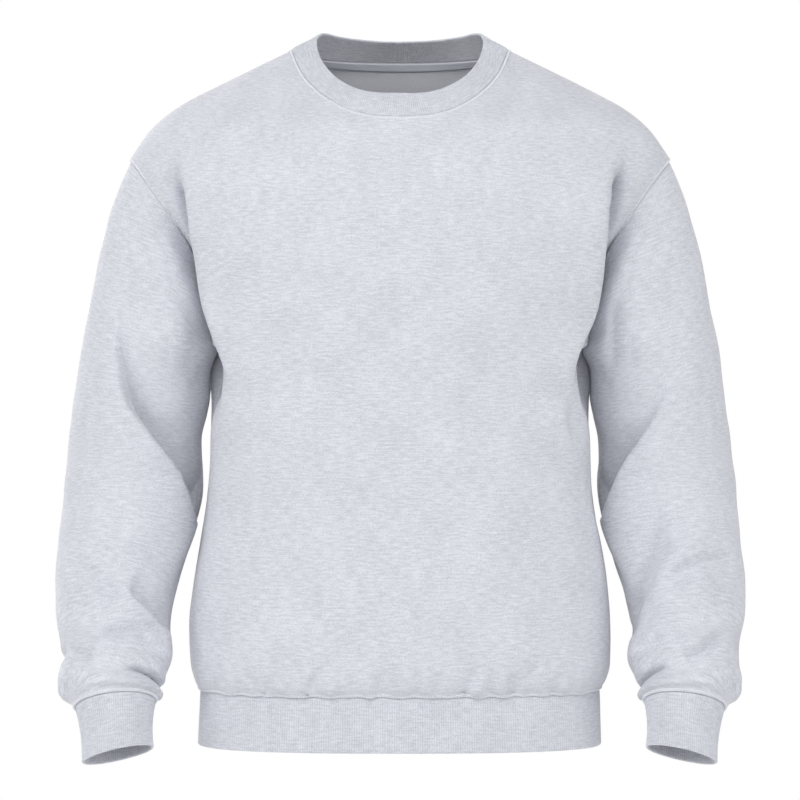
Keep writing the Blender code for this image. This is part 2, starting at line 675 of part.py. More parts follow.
def ribbed_band(name, seam, rim, material):
    """A closed band between two rings of points and normals: ribs on its outer face, a plain inner face.

    The outer face has two columns a rib, one in the groove and one on the rib, so it has more than the
    inner face; the band's two edges join them with fans of triangles.
    """
    seam = (seam[0] + unit(rim[0] - seam[0]) * SEAM_GAP / 2, seam[1])
    count = len(seam[0])
    middle = (seam[0] + rim[0]) / 2
    spans = np.linalg.norm(np.roll(middle, -1, axis=0) - middle, axis=1)
    steps = 2 * np.maximum(1, np.round(spans / RIB_PITCH)).astype(int)
    first = np.concatenate([[0], np.cumsum(steps)])
    total = first[-1]
    before = np.repeat(np.arange(count), steps)
    after = (before + 1) % count
    part = ((np.arange(total) - first[before]) / steps[before])[:, None]
    lift = (RIB_CLOTH / 2 + RIB_HEIGHT * (np.arange(total) % 2))[:, None]
    inner = []
    outer = []
    for points, normals in (seam, rim):
        inner.append(points - normals * RIB_CLOTH / 2)
        outward = unit(normals[before] * (1 - part) + normals[after] * part)
        outer.append(points[before] * (1 - part) + points[after] * part + outward * lift)
    faces = []
    seam_first, rim_first = 2 * count, 2 * count + total
    for here in range(count):
        beyond = (here + 1) % count
        pivot = first[here] + steps[here] // 2
        faces.append((here, beyond, count + beyond, count + here))
        faces.append((here, seam_first + pivot, beyond))
        faces.append((count + here, count + beyond, rim_first + pivot))
        for column in range(first[here], first[here + 1]):
            near = here if column < pivot else beyond
            step = (column + 1) % total
            faces.append((near, seam_first + column, seam_first + step))
            faces.append((count + near, rim_first + step, rim_first + column))
            faces.append((seam_first + column, seam_first + step, rim_first + step, rim_first + column))
    return new_object(name, np.concatenate(inner + outer), faces, material)


def neck_tape(back, material):
    """The tape on the inner face of the back panel, under the neck seam from shoulder to shoulder."""
    points, normals = back[0][:, NECK_SPAN], back[1][:, NECK_SPAN]
    drop = np.linalg.norm(points[-2] - points[-1], axis=-1, keepdims=True)
    depth = JERSEY / 2 + SEAM_GAP + TAPE / 2
    rows = []
    row_normals = []
    for distance in (TAPE_START, TAPE_START + TAPE_WIDTH):
        part = distance / drop
        normal = unit(normals[-1] * (1 - part) + normals[-2] * part)
        rows.append(points[-1] * (1 - part) + points[-2] * part - normal * depth)
        row_normals.append(normal)
    return wall("neck_tape", np.array(rows), np.array(row_normals), TAPE, material)


def cloth_material(name, colour):
    material = bpy.data.materials.new(name)
    material.use_nodes = True
    shader = material.node_tree.nodes["Principled BSDF"]
    shader.inputs["Base Color"].default_value = colour
    shader.inputs["Roughness"].default_value = ROUGHNESS
    shader.inputs["Metallic"].default_value = 0.0
    return material


def main():
    for old in list(bpy.data.objects):
        bpy.data.objects.remove(old, do_unlink=True)
    collection = bpy.data.collections.new("crewneck_sweatshirt")
    bpy.context.scene.collection.children.link(collection)
    jersey = cloth_material("jersey", ASH_GREY)
    rib = cloth_material("rib", RIB_GREY)
    tape = cloth_material("tape", TAPE_GREY)

    panels = {face: panel_points(face) for face in ("front", "back")}
    sleeves = {name: folded_sleeve(name, side) for name, side in SIDES.items()}
    collar_seam, collar_rim = neck_rings()
    waist_seam, hem = waist_rings(panels)
    for face in panels:
        points, normals = folded_panel(panels[face], face)
        normals = share_panel_normals(normals, points, face, sleeves, collar_seam[1], waist_seam[1])
        panels[face] = (points, normals)
        wall(face, pulled_edges(points, normals), normals, JERSEY, jersey)

    for name, side in SIDES.items():
        points, normals = sleeves[name]
        cuff_seam, cuff_rim = cuff_rings(sleeves[name], side)
        normals = share_sleeve_normals(normals, panels, side, cuff_seam[1])
        pulled = points.copy()
        for edge, beside in ((0, 1), (-1, -2)):
            pulled[edge] += unit(points[beside] - points[edge]) * SEAM_GAP / 2
        wall("sleeve_" + name, pulled, normals, JERSEY, jersey, closed=True)
        ribbed_band("cuff_" + name, cuff_seam, cuff_rim, rib)

    ribbed_band("collar", collar_seam, collar_rim, rib)
    ribbed_band("waistband", waist_seam, hem, rib)
    neck_tape(panels["back"], tape)


main()
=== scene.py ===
"""Crewneck sweatshirt of heather fleece jersey in its worn shape, dressed with its folds, seams and rib knit.

Laid out as a Blender add-on and run as a script. Lengths in the tables and properties are millimetres and
the meshes are metres: +Z up, the front faces -Y, the wearer's left is +X, the origin is mid neck.
"""

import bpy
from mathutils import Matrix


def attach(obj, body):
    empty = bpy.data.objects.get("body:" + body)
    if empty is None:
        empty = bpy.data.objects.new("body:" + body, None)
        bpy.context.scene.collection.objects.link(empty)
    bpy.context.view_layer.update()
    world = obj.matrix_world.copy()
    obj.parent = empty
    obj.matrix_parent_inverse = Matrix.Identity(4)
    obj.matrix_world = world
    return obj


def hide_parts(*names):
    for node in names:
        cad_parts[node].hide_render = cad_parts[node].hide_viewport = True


bl_info = {
    "name": "Crewneck Sweatshirt",
    "version": (1, 0, 0),
    "blender": (4, 5, 0),
    "location": "View3D > Sidebar > Sweatshirt",
    "description": "Builds a crewneck sweatshirt in its worn shape, piece by piece",
    "category": "Add Mesh",
}

import math

import bpy
import numpy as np

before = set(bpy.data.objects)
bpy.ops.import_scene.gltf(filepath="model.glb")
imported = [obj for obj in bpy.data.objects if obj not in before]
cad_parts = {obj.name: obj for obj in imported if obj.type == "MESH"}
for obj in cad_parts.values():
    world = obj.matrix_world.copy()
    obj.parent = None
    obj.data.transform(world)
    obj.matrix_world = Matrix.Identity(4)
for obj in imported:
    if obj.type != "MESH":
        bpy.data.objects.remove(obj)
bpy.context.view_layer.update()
MM = 0.001

# Form of the garment, the same as its solids

SHOULDER_TIP = (268.0, -112.0)
SHOULDER_BEND = 1.15
TIP_TURN = 8.0              # how far round the armhole runs in to the shoulder seam
ARMPIT = (190.5, -294.0)
ARMHOLE_BOW = {"front": 22.0, "back": 20.0}
HEM_HEIGHT = -690.0
HEM_FLARE = 1.012
CUFF_LENGTH = 55.0
CUFF_TAPER = 0.875
CUFF_BOW = -2.2
CUFF_HALF = 38.0
CUFF_RIM = {"rise": 4.5, "back": 4.5, "outer": -4.0}     # how the rim stands against the sleeve's end
CUFF_SEAM = {"start": 12.5, "outer": -3.0}
CUFF_LEAN = (-4.0, -18.5, -52.0)
COLLAR_LOOK_UP = 30.0
ARMHOLE_REACH = 5.0
ARMPIT_TUCK = {"depth": 2.2, "reach": 24.0, "start": 9.0}
SLEEVE_END = 15
BODY_TOP = -0.1
SIDES = {"right": -1, "left": 1}

BODY = {
    "height":      (0, -10, -28, -43, -56, -67, -79, -95, -110, -124, -145, -172, -203, -230,
                    -255, -277, -294, -312, -360, -410, -450, -490, -530, -570, -600, -620, -630, -636),
    "half_width":  (108, 128, 164.5, 194.5, 218.5, 234.5, 247.5, 259.5, 268, 266.5, 254.5, 237, 220, 209,
                    199.5, 192.8, 190.5, 188.5, 188.5, 188, 192, 198.5, 205, 209, 209, 206.5, 202.5, 197.5),
    "front":       (6, 26, 47, 62, 75, 85, 94, 101.5, 107, 111, 115.5, 119, 121, 121.5,
                    121, 120, 119, 118, 115.5, 113.5, 113, 114, 116, 118, 119, 117, 113, 107),
    "back":        (80, 86, 91, 95, 98.5, 101, 103, 105, 107, 108.5, 110, 111, 110.5, 109,
                    107, 105.5, 104.5, 103, 99, 97, 97, 98.5, 101.5, 105.5, 107.5, 106, 102.5, 97),
    "squareness":  (2, 2, 2, 2, 2, 2.05, 2.1, 2.1, 2.15, 2.2, 2.25, 2.35, 2.4, 2.4,
                    2.45, 2.5, 2.5, 2.5, 2.6, 2.7, 2.7, 2.7, 2.7, 2.7, 2.7, 2.7, 2.7, 2.7),
}
NECK = {
    "turn":   (0, 15, 30, 45, 60, 72, 82, 90, 97, 110, 130, 150, 165, 180),
    "seam_x": (0, 26, 49, 69, 84, 96, 104, 108, 107.4, 101, 80, 50, 26, 0),
    "seam_z": (-74.2, -72.5, -66.6, -55.7, -42.8, -28, -11.5, 0, -0.3, -0.7, -1.2, -1.7, -1.9, -2),
    "rim_x":  (0, 20, 40, 58, 71, 79, 82.5, 83, 81.5, 76.5, 60, 35, 18, 0),
    "rim_y":  (-80, -79, -73, -61, -44, -27, -10, 3, 13, 27, 47, 58, 61, 62),
    "rim_z":  (-50, -49.5, -45.5, -36, -23, -9.5, 3, 10, 16, 20.5, 19.5, 17.5, 16.8, 16.5),
}
SLEEVE = {
    "along":      tuple(range(SLEEVE_END + 1)),
    "outer_x":    (269, 286, 298, 307, 316, 323, 329, 333,
                   336, 339, 341, 339, 334, 332, 333, 316),
    "outer_z":    (-112, -152, -197, -240, -284, -330, -372, -412,
                   -450, -492, -531, -563, -588, -609, -626, -648),
    "inner_x":    (190.5, 191.8, 192, 192, 192.2, 195.5, 200, 200,
                   204, 212, 223, 228, 225, 231, 235, 240),
    "inner_z":    (-294, -309, -323, -337, -350, -366, -387, -419,
                   -456, -499, -539, -573, -600, -617, -634, -645),
    "middle_y":   (-2, 4, 8, 12, 15, 17, 17, 13,
                   4, -9, -24, -37, -47, -55, -61, -68),
    "half_depth": (50, 56, 60, 62, 63, 63, 62, 61,
                   60, 59, 57, 55, 53, 51, 49, 38),
}

# How the fine grids are spaced

SEAM_STEPS = (0.0, 0.8, 1.7, 2.7, 3.8, 5.1, 6.7, 8.8)     # lines of points beside a seam
BODY_STEP = 3.1
ARMHOLE_STEP = 2.6
SLEEVE_STEP = 3.0
CHEST_LENGTH = 560.0        # across a panel under the arms
SIDE_LENGTH = 342.0         # waist seam to armpit
ARMHOLE_LENGTH = 216.0      # armpit to shoulder tip
SLEEVE_LENGTH = 480.0
CAD_COLUMNS = 24            # the solids' columns, whose spacing the neck follows
CAD_SHOULDER = 6
SIDE_BIAS = 0.55
SECTION_SPREAD = 0.8        # how a section's samples crowd at its sides
SAMPLES = 1441              # points on a curve whose length is measured
PROBE = 0.05
SETTLE_STEPS = 24
SETTLE_LIMIT = 6.0
EVEN_RINGS = 2.5            # rings of a sleeve before its columns stand evenly round it

# Where the arms press the cloth: the armhole seam is drawn in by a share of its depth, at turns round it,
# and below the armpits the sides of the body and the sleeves swell to each other, with a pocket in front.
# A swell has the height and the depth of its middle, its reach above, below and in depth, how far it goes
# sideways (in where below zero) and how far below the armpit it comes up to that.
PRESSED = {
    "turn":   (62, 80, 100, 120, 140, 160, 176),
    "front":  (0, 0.28, 0.5, 0.4, 0.3, 0.25, 0),
    "back":   (0, 0.1, 0.3, 0.45, 0.45, 0.25, 0),
}
PRESSED_FALL = {"body": 5.0, "sleeve": 9.0}
PRESSED_POINTS = 90
PRESSED_FADE = 20.0         # towards the side the press dies out over this depth
SWELL_COLUMNS = ("height", "above", "below", "depth", "depth_reach", "swell", "start")
ARMPIT_SINK = (-298.0, 14.0, 14.0, 2.0, 34.0, -7.0, 0.0)
SIDE_SWELLS = (
    (-320.0, 26.0, 34.0, 13.0, 15.0, 4.2, 9.0),
    (-320.0, 30.0, 34.0, -22.0, 29.0, -20.0, 8.0),
)
SLEEVE_SWELLS = ((-314.0, 18.0, 26.0, 48.0, 17.0, -7.0, 4.0),)
OUTER_PART = (140.0, 30.0)  # a panel's cloth beside the arms: where it starts, and over what width
INNER_PART = (225.0, 15.0)  # a sleeve's cloth beside the body: where it ends, and over what width
SIDEWAYS = 0.45             # cloth that faces front or back less than this is not folded to the full

# Unevenness of the cloth: height, wavelength and seed of each ripple
UNEVEN = {
    "panel": ((0.8, 95, 11), (0.3, 34, 12)),
    "sleeve": ((0.55, 90, 21), (0.3, 32, 25)),
}

# Folds: a crest along some points, its height (below zero for a trough) and how wide it falls away on its
# steep and its soft side. A sharp fold also has how far its crest hangs over to the steep side, how deep
# the cloth dips beyond it and over what distance it comes up again. The last two numbers are the shares of
# its length over which it grows and fades. The points of a sharp fold are where its edge ends up.
FOLD_COLUMNS = ("path", "height", "steep_fall", "soft_fall", "hang", "dip", "dip_reach", "grow", "fade")
NO_HANG = (0, 0, 1)
FOLD_ENDS = (0.25, 0.25)
CREST_POINTS = 60
CREST_BACK = 0.9            # how far a sharp fold's crest stands back of its edge, in steep falls
FOLD_FOOT = 1.5             # where its dip is deepest, in steep falls
HANG_FALL = (1.2, 2.4)      # how wide its hang falls away on its steep and its soft side, in steep falls

# The panels' crests run along (x, z) points, their steep side is the one towards the arm.
PANEL_FOLDS = {
    "front": (
        (((-222, -100), (-213.6, -139), (-209, -166), (-206.5, -190), (-203, -217), (-198.5, -252),
          (-192.5, -273), (-184, -293), (-174, -317), (-168.5, -334), (-165, -352)),
         8, 5, 36, 9, 22, 12, 0.13, 0.26),
        (((221, -98), (211.7, -128), (208, -158), (205.5, -194), (203, -217), (198.5, -252),
          (192.5, -273), (184, -293), (174, -317), (168.5, -334), (165, -352)),
         8, 5, 36, 9, 22, 12, 0.14, 0.26),
        (((160, -340), (164, -364), (172, -395), (184, -425)), 3.5, 6, 26, 4, 5, 12, 0.4, 0.5),
        (((-132, -320), (-96, -420), (-70, -540)), 3.5, 36, 50, 0.5, 0.4),
        (((130, -325), (104, -440), (92, -560)), 3.5, 36, 48, 0.5, 0.4),
        (((-192, -604), (-176, -627)), -2.5, 6, 8, 0.4, 0.1),
        (((-160, -601), (-142, -621), (-131, -634)), -3.6, 6, 5, 0.5, 0.04),
        (((-124, -606), (-112, -634)), 1.6, 8, 10, 0.5, 0.05),
        (((-106, -592), (-120, -612)), -1.6, 7, 9),
        (((-62, -594), (-79, -615), (-90, -634)), -4.0, 5, 8, 0.45, 0.04),
        (((-54, -612), (-68, -634)), 1.8, 7, 9, 0.5, 0.05),
        (((-10, -603), (-26, -634)), -2.6, 6, 9, 0.5, 0.05),
        (((48, -600), (36, -634)), -2.6, 6, 9, 0.5, 0.05),
        (((80, -604), (60, -634)), -3.8, 5, 7, 0.4, 0.04),
        (((84, -608), (72, -634)), 2.4, 5, 9, 0.4, 0.05),
        (((138, -598), (108, -634)), -3.8, 5, 8, 0.4, 0.04),
        (((164, -608), (146, -634)), -3.4, 5, 7, 0.4, 0.04),
        (((170, -612), (160, -634)), 2.0, 6, 8, 0.4, 0.05),
    ),
    "back": (
        (((-222, -104), (-213, -150), (-207, -200), (-199, -250), (-186, -295), (-174, -330), (-166, -352)),
         8, 6, 40, 8, 18, 13, 0.2, 0.3),
        (((221, -110), (212, -160), (206, -210), (196, -258), (182, -300), (171, -332), (163, -352)),
         9, 6, 40, 8, 20, 13, 0.2, 0.3),
        (((-150, -128), (-60, -150), (30, -146), (120, -126)), 4, 22, 30, 0.4, 0.4),
        (((-152, -236), (-110, -300), (-84, -370)), 4, 12, 30, 0.4, 0.5),
        (((158, -228), (118, -296), (96, -376)), 4.5, 12, 30, 0.4, 0.5),
        (((-70, -170), (-40, -300), (-66, -430)), -6, 26, 40),
        (((84, -180), (52, -310), (70, -450)), -6, 24, 40),
        (((-176, -430), (-110, -470), (-40, -476)), -3.5, 12, 20, 0.4, 0.5),
        (((178, -452), (120, -492), (50, -500)), -4, 12, 20, 0.4, 0.5),
        (((-140, -590), (-118, -612), (-108, -634)), -3.6, 6, 8, 0.45, 0.04),
        (((-66, -596), (-74, -634)), -3, 6, 9, 0.45, 0.05),
        (((-14, -606), (-4, -634)), 2.4, 7, 9, 0.45, 0.05),
        (((34, -594), (50, -634)), -3.6, 6, 8, 0.45, 0.04),
        (((100, -604), (92, -634)), 2.6, 7, 9, 0.45, 0.05),
        (((150, -590), (126, -634)), -4, 6, 8, 0.45, 0.04),
    ),
}
PANEL_EASE = {"seam": 4.5, "side": 16.0, "top": 21.0}
GATHERS = {"height": 1.1, "reach": 26.0, "length": 26.0, "seed": 41}

# The sleeves' crests run along (ring, degrees round) points: 0 the outer side, 90 the front, 180 at the body
# and 270 the back. Where they run to more degrees, the steep side is the one towards the shoulder.
RING_LENGTH = 32.0          # the length of cloth that one ring and one degree stand for
DEGREE_LENGTH = 1.05
SLEEVE_FOLDS = {
    "right": (
        (((1.2, 46), (2.6, 58), (3.6, 67), (5.0, 85), (6.1, 109), (7.2, 133), (8.1, 160), (8.4, 185)),
         8, 5, 40, 9, 16, 30, 0.55, 0.12),
        (((0.9, 108), (2.2, 112), (3.6, 108)), 3, 16, 18),
        (((10.3, 101), (10.55, 113), (10.85, 128), (11.2, 150), (11.5, 185)), 5, 5, 16, 6, 11, 20, 0.3, 0.3),
        (((9.5, 35), (10.2, 75), (11.0, 112)), -6, 7, 10),
        (((12.1, 76), (11.95, 96), (11.7, 125), (11.6, 160)), -6, 9, 8),
        (((12.5, 50), (12.55, 90), (12.4, 130), (12.3, 185)), 4, 9, 10),
        (((13.45, 104), (13.6, 135), (13.8, 175), (13.9, 215)), -9.5, 7, 8),
        (((14.4, 40), (14.4, 90), (14.4, 150), (14.4, 190), (14.4, 220)), 4, 6, 6),
        (((14.3, -60), (14.3, -20), (14.3, 20)), 3.5, 8, 6),
        (((12.6, 30), (12.95, 54), (13.1, 74)), -6, 8, 9),
        (((12.6, -30), (12.7, 5), (12.7, 35)), -4, 8, 9),
        (((2.2, 300), (4.6, 262), (6.8, 232)), 6, 20, 30),
        (((6.6, 180), (7.4, 215), (8.0, 250), (8.6, 290)), 6, 6, 26, 7, 10, 22, 0.3, 0.4),
        (((10.6, 190), (11.4, 230), (11.8, 280)), 5, 6, 16, 5, 8, 16, 0.3, 0.4),
        (((11.2, 200), (12.2, 245), (12.4, 300)), -6, 10, 12),
        (((13.0, 190), (13.2, 240), (13.0, 330)), 5, 9, 11),
    ),
    "left": (
        (((3.2, 76), (4.2, 82), (5.1, 92), (6.1, 112), (7.1, 134), (8.0, 160), (8.3, 185)),
         8, 6, 40, 9, 16, 28, 0.78, 0.12),
        (((1.6, 62), (3.4, 74), (4.8, 84)), -1.5, 14, 16),
        (((0.6, 106), (1.6, 122), (2.7, 132)), -4, 9, 11),
        (((0.8, 88), (2.2, 94), (3.8, 98)), 2.5, 12, 14),
        (((8.3, 94), (9.1, 110), (9.8, 130), (10.5, 158), (10.8, 190)), -12, 8, 12),
        (((9.5, 20), (9.7, 58), (9.95, 92), (10.3, 122)), -8, 6, 12),
        (((9.3, 60), (9.7, 96), (10.4, 128)), 4, 9, 10),
        (((10.3, 60), (10.6, 95), (11.0, 130)), 5, 12, 14),
        (((11.0, 205), (11.15, 178), (11.2, 146)), -3.5, 8, 8),
        (((12.2, 60), (12.5, 95), (12.3, 130), (12.1, 185)), 4, 9, 10),
        (((13.3, 110), (13.5, 140), (13.75, 180), (13.85, 215)), -9.5, 7, 8),
        (((13.4, 104), (12.9, 74), (11.9, 40)), -7, 7, 10),
        (((14.4, 40), (14.4, 90), (14.4, 150), (14.4, 190), (14.4, 220)), 4, 6, 6),
        (((14.3, -60), (14.3, -20), (14.3, 20)), 3.5, 8, 6),
        (((2.4, 295), (4.4, 258), (6.6, 228)), 6, 22, 28),
        (((6.8, 182), (7.5, 218), (8.2, 255), (8.8, 295)), 6, 6, 26, 7, 10, 22, 0.3, 0.4),
        (((10.8, 195), (11.5, 235), (12.0, 285)), 5, 6, 16, 5, 8, 16, 0.3, 0.4),
        (((11.4, 205), (12.0, 250), (12.6, 305)), -6, 10, 12),
        (((13.1, 195), (13.3, 250), (12.9, 340)), 5, 9, 11),
    ),
}
SLEEVE_EASE = {"start": 0.3, "end": 0.6}

# Seams: how deep the cloth rolls in, and the stitched ridge beside it
GROOVE_WIDTH = 1.05
SEAMS = {
    "armhole": {"groove": 0.9, "ridge": 0.7},
    "sleeve_head": {"groove": 0.9, "ridge": 0.0},
    "neck": {"groove": 0.7, "ridge": 0.8},
    "waist": {"groove": 0.9, "ridge": 0.9},
    "cuff": {"groove": 0.9, "ridge": 0.9},
    "side": {"groove": 0.5, "ridge": 0.0},
    "shoulder": {"groove": 0.5, "ridge": 0.0},
}
RIDGE = (0.5, 1.3, 4.3, 5.2)        # where the ridge starts to rise, stands, starts to fall and ends
STITCH_ROWS = (1.4, 4.1)            # the two needle rows of the coverstitch, from the seam
COVER_ROW = 2.75                    # the middle of the covering thread that runs to and fro between them
STITCHED = STITCH_ROWS + (COVER_ROW,)
THREAD_BALL = {"Segments": 6, "Rings": 4, "Radius": 0.5}     # a stitch before it is drawn out, 1 across
NECK_BLEND = 6.0                    # over what width the neck seam turns into the shoulder seam

# Rib bands: places along the outer face, from the seam, then the turned edge
RIB_COLUMNS = 4                     # points across one rib
EDGE_ARC = (90, 60, 30, 0, -30, -60, -90)
BAND_PLACES = (0.0, 0.7, 1.6, 2.8, 5.0)
BAND_STEPS = 8
RIB_START = (0.8, 2.0)              # where the ribs start to rise from the seam, and over what length
BAND_GROOVE = 0.7                   # a band's share of the neck seam's groove
BAND_WANDER = (0.7, 90)             # height and wavelength of a band's unevenness
COLLAR_BOW = 0.8
BAND_SEEDS = {"collar": 31, "waistband": 32, "cuffs": 33}

# The neck tape, beside the back panel's inner face
TAPE_GAP = 0.3
TAPE_LINES = 9
TAPE_EDGE = {"width": 1.2, "depth": 0.25}

# The knit's looks: pitches in metres, scales of the yarn's unevenness across and along the knit
WALE_PITCH = 0.0012
COURSE_PITCH = 0.0010
RIB_COURSE_PITCH = 0.0011
TWILL_PITCH = 0.0009
STREAK_SCALE = (95.0, 520.0, 1.0)
FIBRE_SCALE = (520.0, 1500.0, 1.0)
CLOUD_SCALE = 22.0
TUFT_SCALE = 420.0
SHARES = {"clouds": 0.25, "streaks": 0.9, "jersey_loops": 0.25, "rib_loops": 0.3}    # beside the fibres' own
HEATHER_RANGE = (0.92, 1.33)        # the mixed yarn's sum where it is all grey and where it is all pale
RIB_SHADE_AND_HIGHLIGHT = (0.89, 1.05)         # painted shade and highlight: how dark the groove beside a rib is painted and how pale its top
SPECULAR_LEVEL = 0.25
SHEEN_ROUGHNESS = 0.45
TURN = 2 * math.pi

# The stage, in metres: the soft lights' place, size and share of the key light's power
SOFTBOXES = {
    "left_softbox": ((-2.7, -1.9, 0.45), 2.2, 1.0),
    "right_softbox": ((2.7, -1.9, 0.35), 2.2, 0.9),
    "front_softbox": ((-0.4, -2.9, 2.0), 1.8, 1.15),
    "low_softbox": ((0.4, -3.0, -0.5), 1.4, 0.06),
    "back_softbox": ((-1.1, 2.3, 0.9), 2.4, 1.5),
}
AIM = (0.0, 0.0, -0.35)
FLOOR = {"radius": 2.6, "corners": 96}
FLOOR_TONES = {"dark": (0.86, 0.86, 0.87, 1.0), "light": (0.9, 0.9, 0.9, 1.0)}
LENS = 135.0


# Curves and directions

def smooth(table, key, column, at):
    """The table's column at the given places of its key column, along a smooth curve through its rows."""
    places = np.asarray(table[key], dtype=float)
    values = np.asarray(table[column], dtype=float)
    if places[0] > places[-1]:
        places, values = places[::-1], values[::-1]
    slopes = np.gradient(values, places)
    at = np.clip(np.asarray(at, dtype=float), places[0], places[-1])
    row = np.clip(np.searchsorted(places, at, side="right") - 1, 0, len(places) - 2)
    span = places[row + 1] - places[row]
    t = (at - places[row]) / span
    before, after = values[row], values[row + 1]
    leave, arrive = slopes[row] * span, slopes[row + 1] * span
    return (before * (1 + 2 * t) * (1 - t) ** 2 + leave * t * (1 - t) ** 2
            + after * t * t * (3 - 2 * t) + arrive * t * t * (t - 1))


def curve_through(points, count):
    """Points on a smooth curve through the given ones."""
    points = np.asarray(points, dtype=float)
    table = {"key": np.arange(len(points))}
    places = np.linspace(0, len(points) - 1, count)
    columns = []
    for axis in range(points.shape[1]):
        table["value"] = points[:, axis]
        columns.append(smooth(table, "key", "value", places))
    return np.stack(columns, axis=1)


def unit(vectors):
    return vectors / np.maximum(np.linalg.norm(vectors, axis=-1, keepdims=True), 1e-9)


def ease(t):
    """A soft step from 0 to 1."""
    t = np.clip(t, 0.0, 1.0)
    return t * t * (3 - 2 * t)


def travelled(points, axis):
    """How far each point of a grid lies from its first row (axis 0) or column (axis 1) along the cloth."""
    steps = np.linalg.norm(np.diff(points, axis=axis), axis=-1)
    return np.concatenate([np.zeros_like(steps.take([0], axis)), np.cumsum(steps, axis=axis)], axis=axis)


def facing(normals, outward):
    """The normals, turned round where they look against the rough outward directions."""
    side = np.sign(np.sum(normals * outward, axis=-1, keepdims=True))
    return normals * np.where(side == 0, 1, side)


def seam_spaced(length, step, start=True, end=True):
    """Distances along a length, closer together beside its seams."""
    edge = np.array(SEAM_STEPS)
    low = edge if start else edge[:1]
    high = length - (edge[::-1] if end else edge[:1])
    count = max(2, round((high[0] - low[-1]) / step) + 1)
    return np.concatenate([low, np.linspace(low[-1], high[0], count)[1:-1], high])


def ripple(places, wavelength, seed, waves=7):
    """Soft unevenness between about -1 and 1 over places in millimetres, the same on every run."""
    draw = np.random.RandomState(seed)
    total = np.zeros(places.shape[:-1])
    for _ in range(waves):
        direction = draw.normal(size=places.shape[-1])
        direction /= np.linalg.norm(direction)
        length = wavelength * draw.uniform(0.6, 1.6)
        total += np.sin(places @ direction * 2 * math.pi / length + draw.uniform(0, 2 * math.pi))
    return total / math.sqrt(waves)


# The body's form

def body_point(x, z, face):
    width = smooth(BODY, "height", "half_width", z)
    depth = smooth(BODY, "height", face, z)
    power = smooth(BODY, "height", "squareness", z)
    left = np.clip(1 - np.abs(x / width) ** power, 0.0, 1.0)
    sign = -1.0 if face == "front" else 1.0
    return np.stack(np.broadcast_arrays(x, sign * depth * left ** (1 / power), z), axis=-1)


def body_measure(points, face):
    """How far out each point lies, 1 on the body's cloth, and the gradient of that measure."""
    def measure(x, y, z):
        power = smooth(BODY, "height", "squareness", z)
        across = np.abs(x) / smooth(BODY, "height", "half_width", z)
        along = np.abs(y) / smooth(BODY, "height", face, z)
        return (across ** power + along ** power) ** (1 / power)

    x, y = points[..., 0], points[..., 1]
    z = np.minimum(points[..., 2], BODY_TOP)
    gradient = np.stack([
        measure(x + PROBE, y, z) - measure(x - PROBE, y, z),
        measure(x, y + PROBE, z) - measure(x, y - PROBE, z),
        measure(x, y, z + PROBE) - measure(x, y, z - PROBE)], axis=-1) / (2 * PROBE)
    return measure(x, y, z), gradient


def body_normal(points, face):
    return unit(body_measure(points, face)[1])


def settle(points, face):
    """The points moved straight out or in until they lie on the body's cloth."""
    for _ in range(SETTLE_STEPS):
        value, gradient = body_measure(points, face)
        steepness = np.sum(gradient ** 2, axis=-1)
        step = ((value - 1) / steepness)[..., None] * gradient
        length = np.linalg.norm(step, axis=-1, keepdims=True)
        points = points - step * np.minimum(1, SETTLE_LIMIT / np.maximum(length, 1e-9))
    return points


def section_x(z, face, across):
    """The x of each column on the section at z, measured along the cloth."""
    turn = np.linspace(-math.pi / 2, math.pi / 2, SAMPLES)
    width = smooth(BODY, "height", "half_width", z)
    x = width * np.sign(turn) * np.abs(np.sin(turn)) ** SECTION_SPREAD
    points = body_point(x, np.full_like(x, z), face)
    length = np.concatenate([[0], np.cumsum(np.linalg.norm(np.diff(points, axis=0), axis=1))])
    return np.interp(across, length / length[-1], x)


def armhole(turn, face, side):
    """A point of the armhole: turn 0 is the shoulder tip, 90 its middle and 180 the armpit."""
    turn = np.radians(turn)
    x = (SHOULDER_TIP[0] + ARMPIT[0]) / 2 + (SHOULDER_TIP[0] - ARMPIT[0]) / 2 * np.cos(turn)
    x = x - ARMHOLE_BOW[face] * np.sin(turn) ** 2
    tip_width = smooth(BODY, "height", "half_width", SHOULDER_TIP[1])
    x = x + (tip_width - SHOULDER_TIP[0]) * np.exp(-(turn / math.radians(TIP_TURN)) ** 2)
    z = (SHOULDER_TIP[1] + ARMPIT[1]) / 2 + (SHOULDER_TIP[1] - ARMPIT[1]) / 2 * np.cos(turn)
    width = smooth(BODY, "height", "half_width", z)
    x = np.where((turn < 1e-6) | (turn > math.pi - 1e-6), width, np.minimum(x, width))
    return body_point(side * x, z, face)


def neck_seam(turn, side):
    x = side * smooth(NECK, "turn", "seam_x", turn)
    z = smooth(NECK, "turn", "seam_z", turn)
    return np.where((np.asarray(turn) <= 90)[..., None], body_point(x, z, "front"), body_point(x, z, "back"))


def neck_rim(turn, side):
    x = side * smooth(NECK, "turn", "rim_x", turn)
    return np.stack([x, smooth(NECK, "turn", "rim_y", turn), smooth(NECK, "turn", "rim_z", turn)], axis=-1)


def shoulder_seam(part, side):
    z = SHOULDER_TIP[1] * (1 - part) ** SHOULDER_BEND
    x = smooth(BODY, "height", "half_width", z)
    return np.stack([side * x, np.zeros_like(x), z], axis=-1)


# Where the grids' lines lie

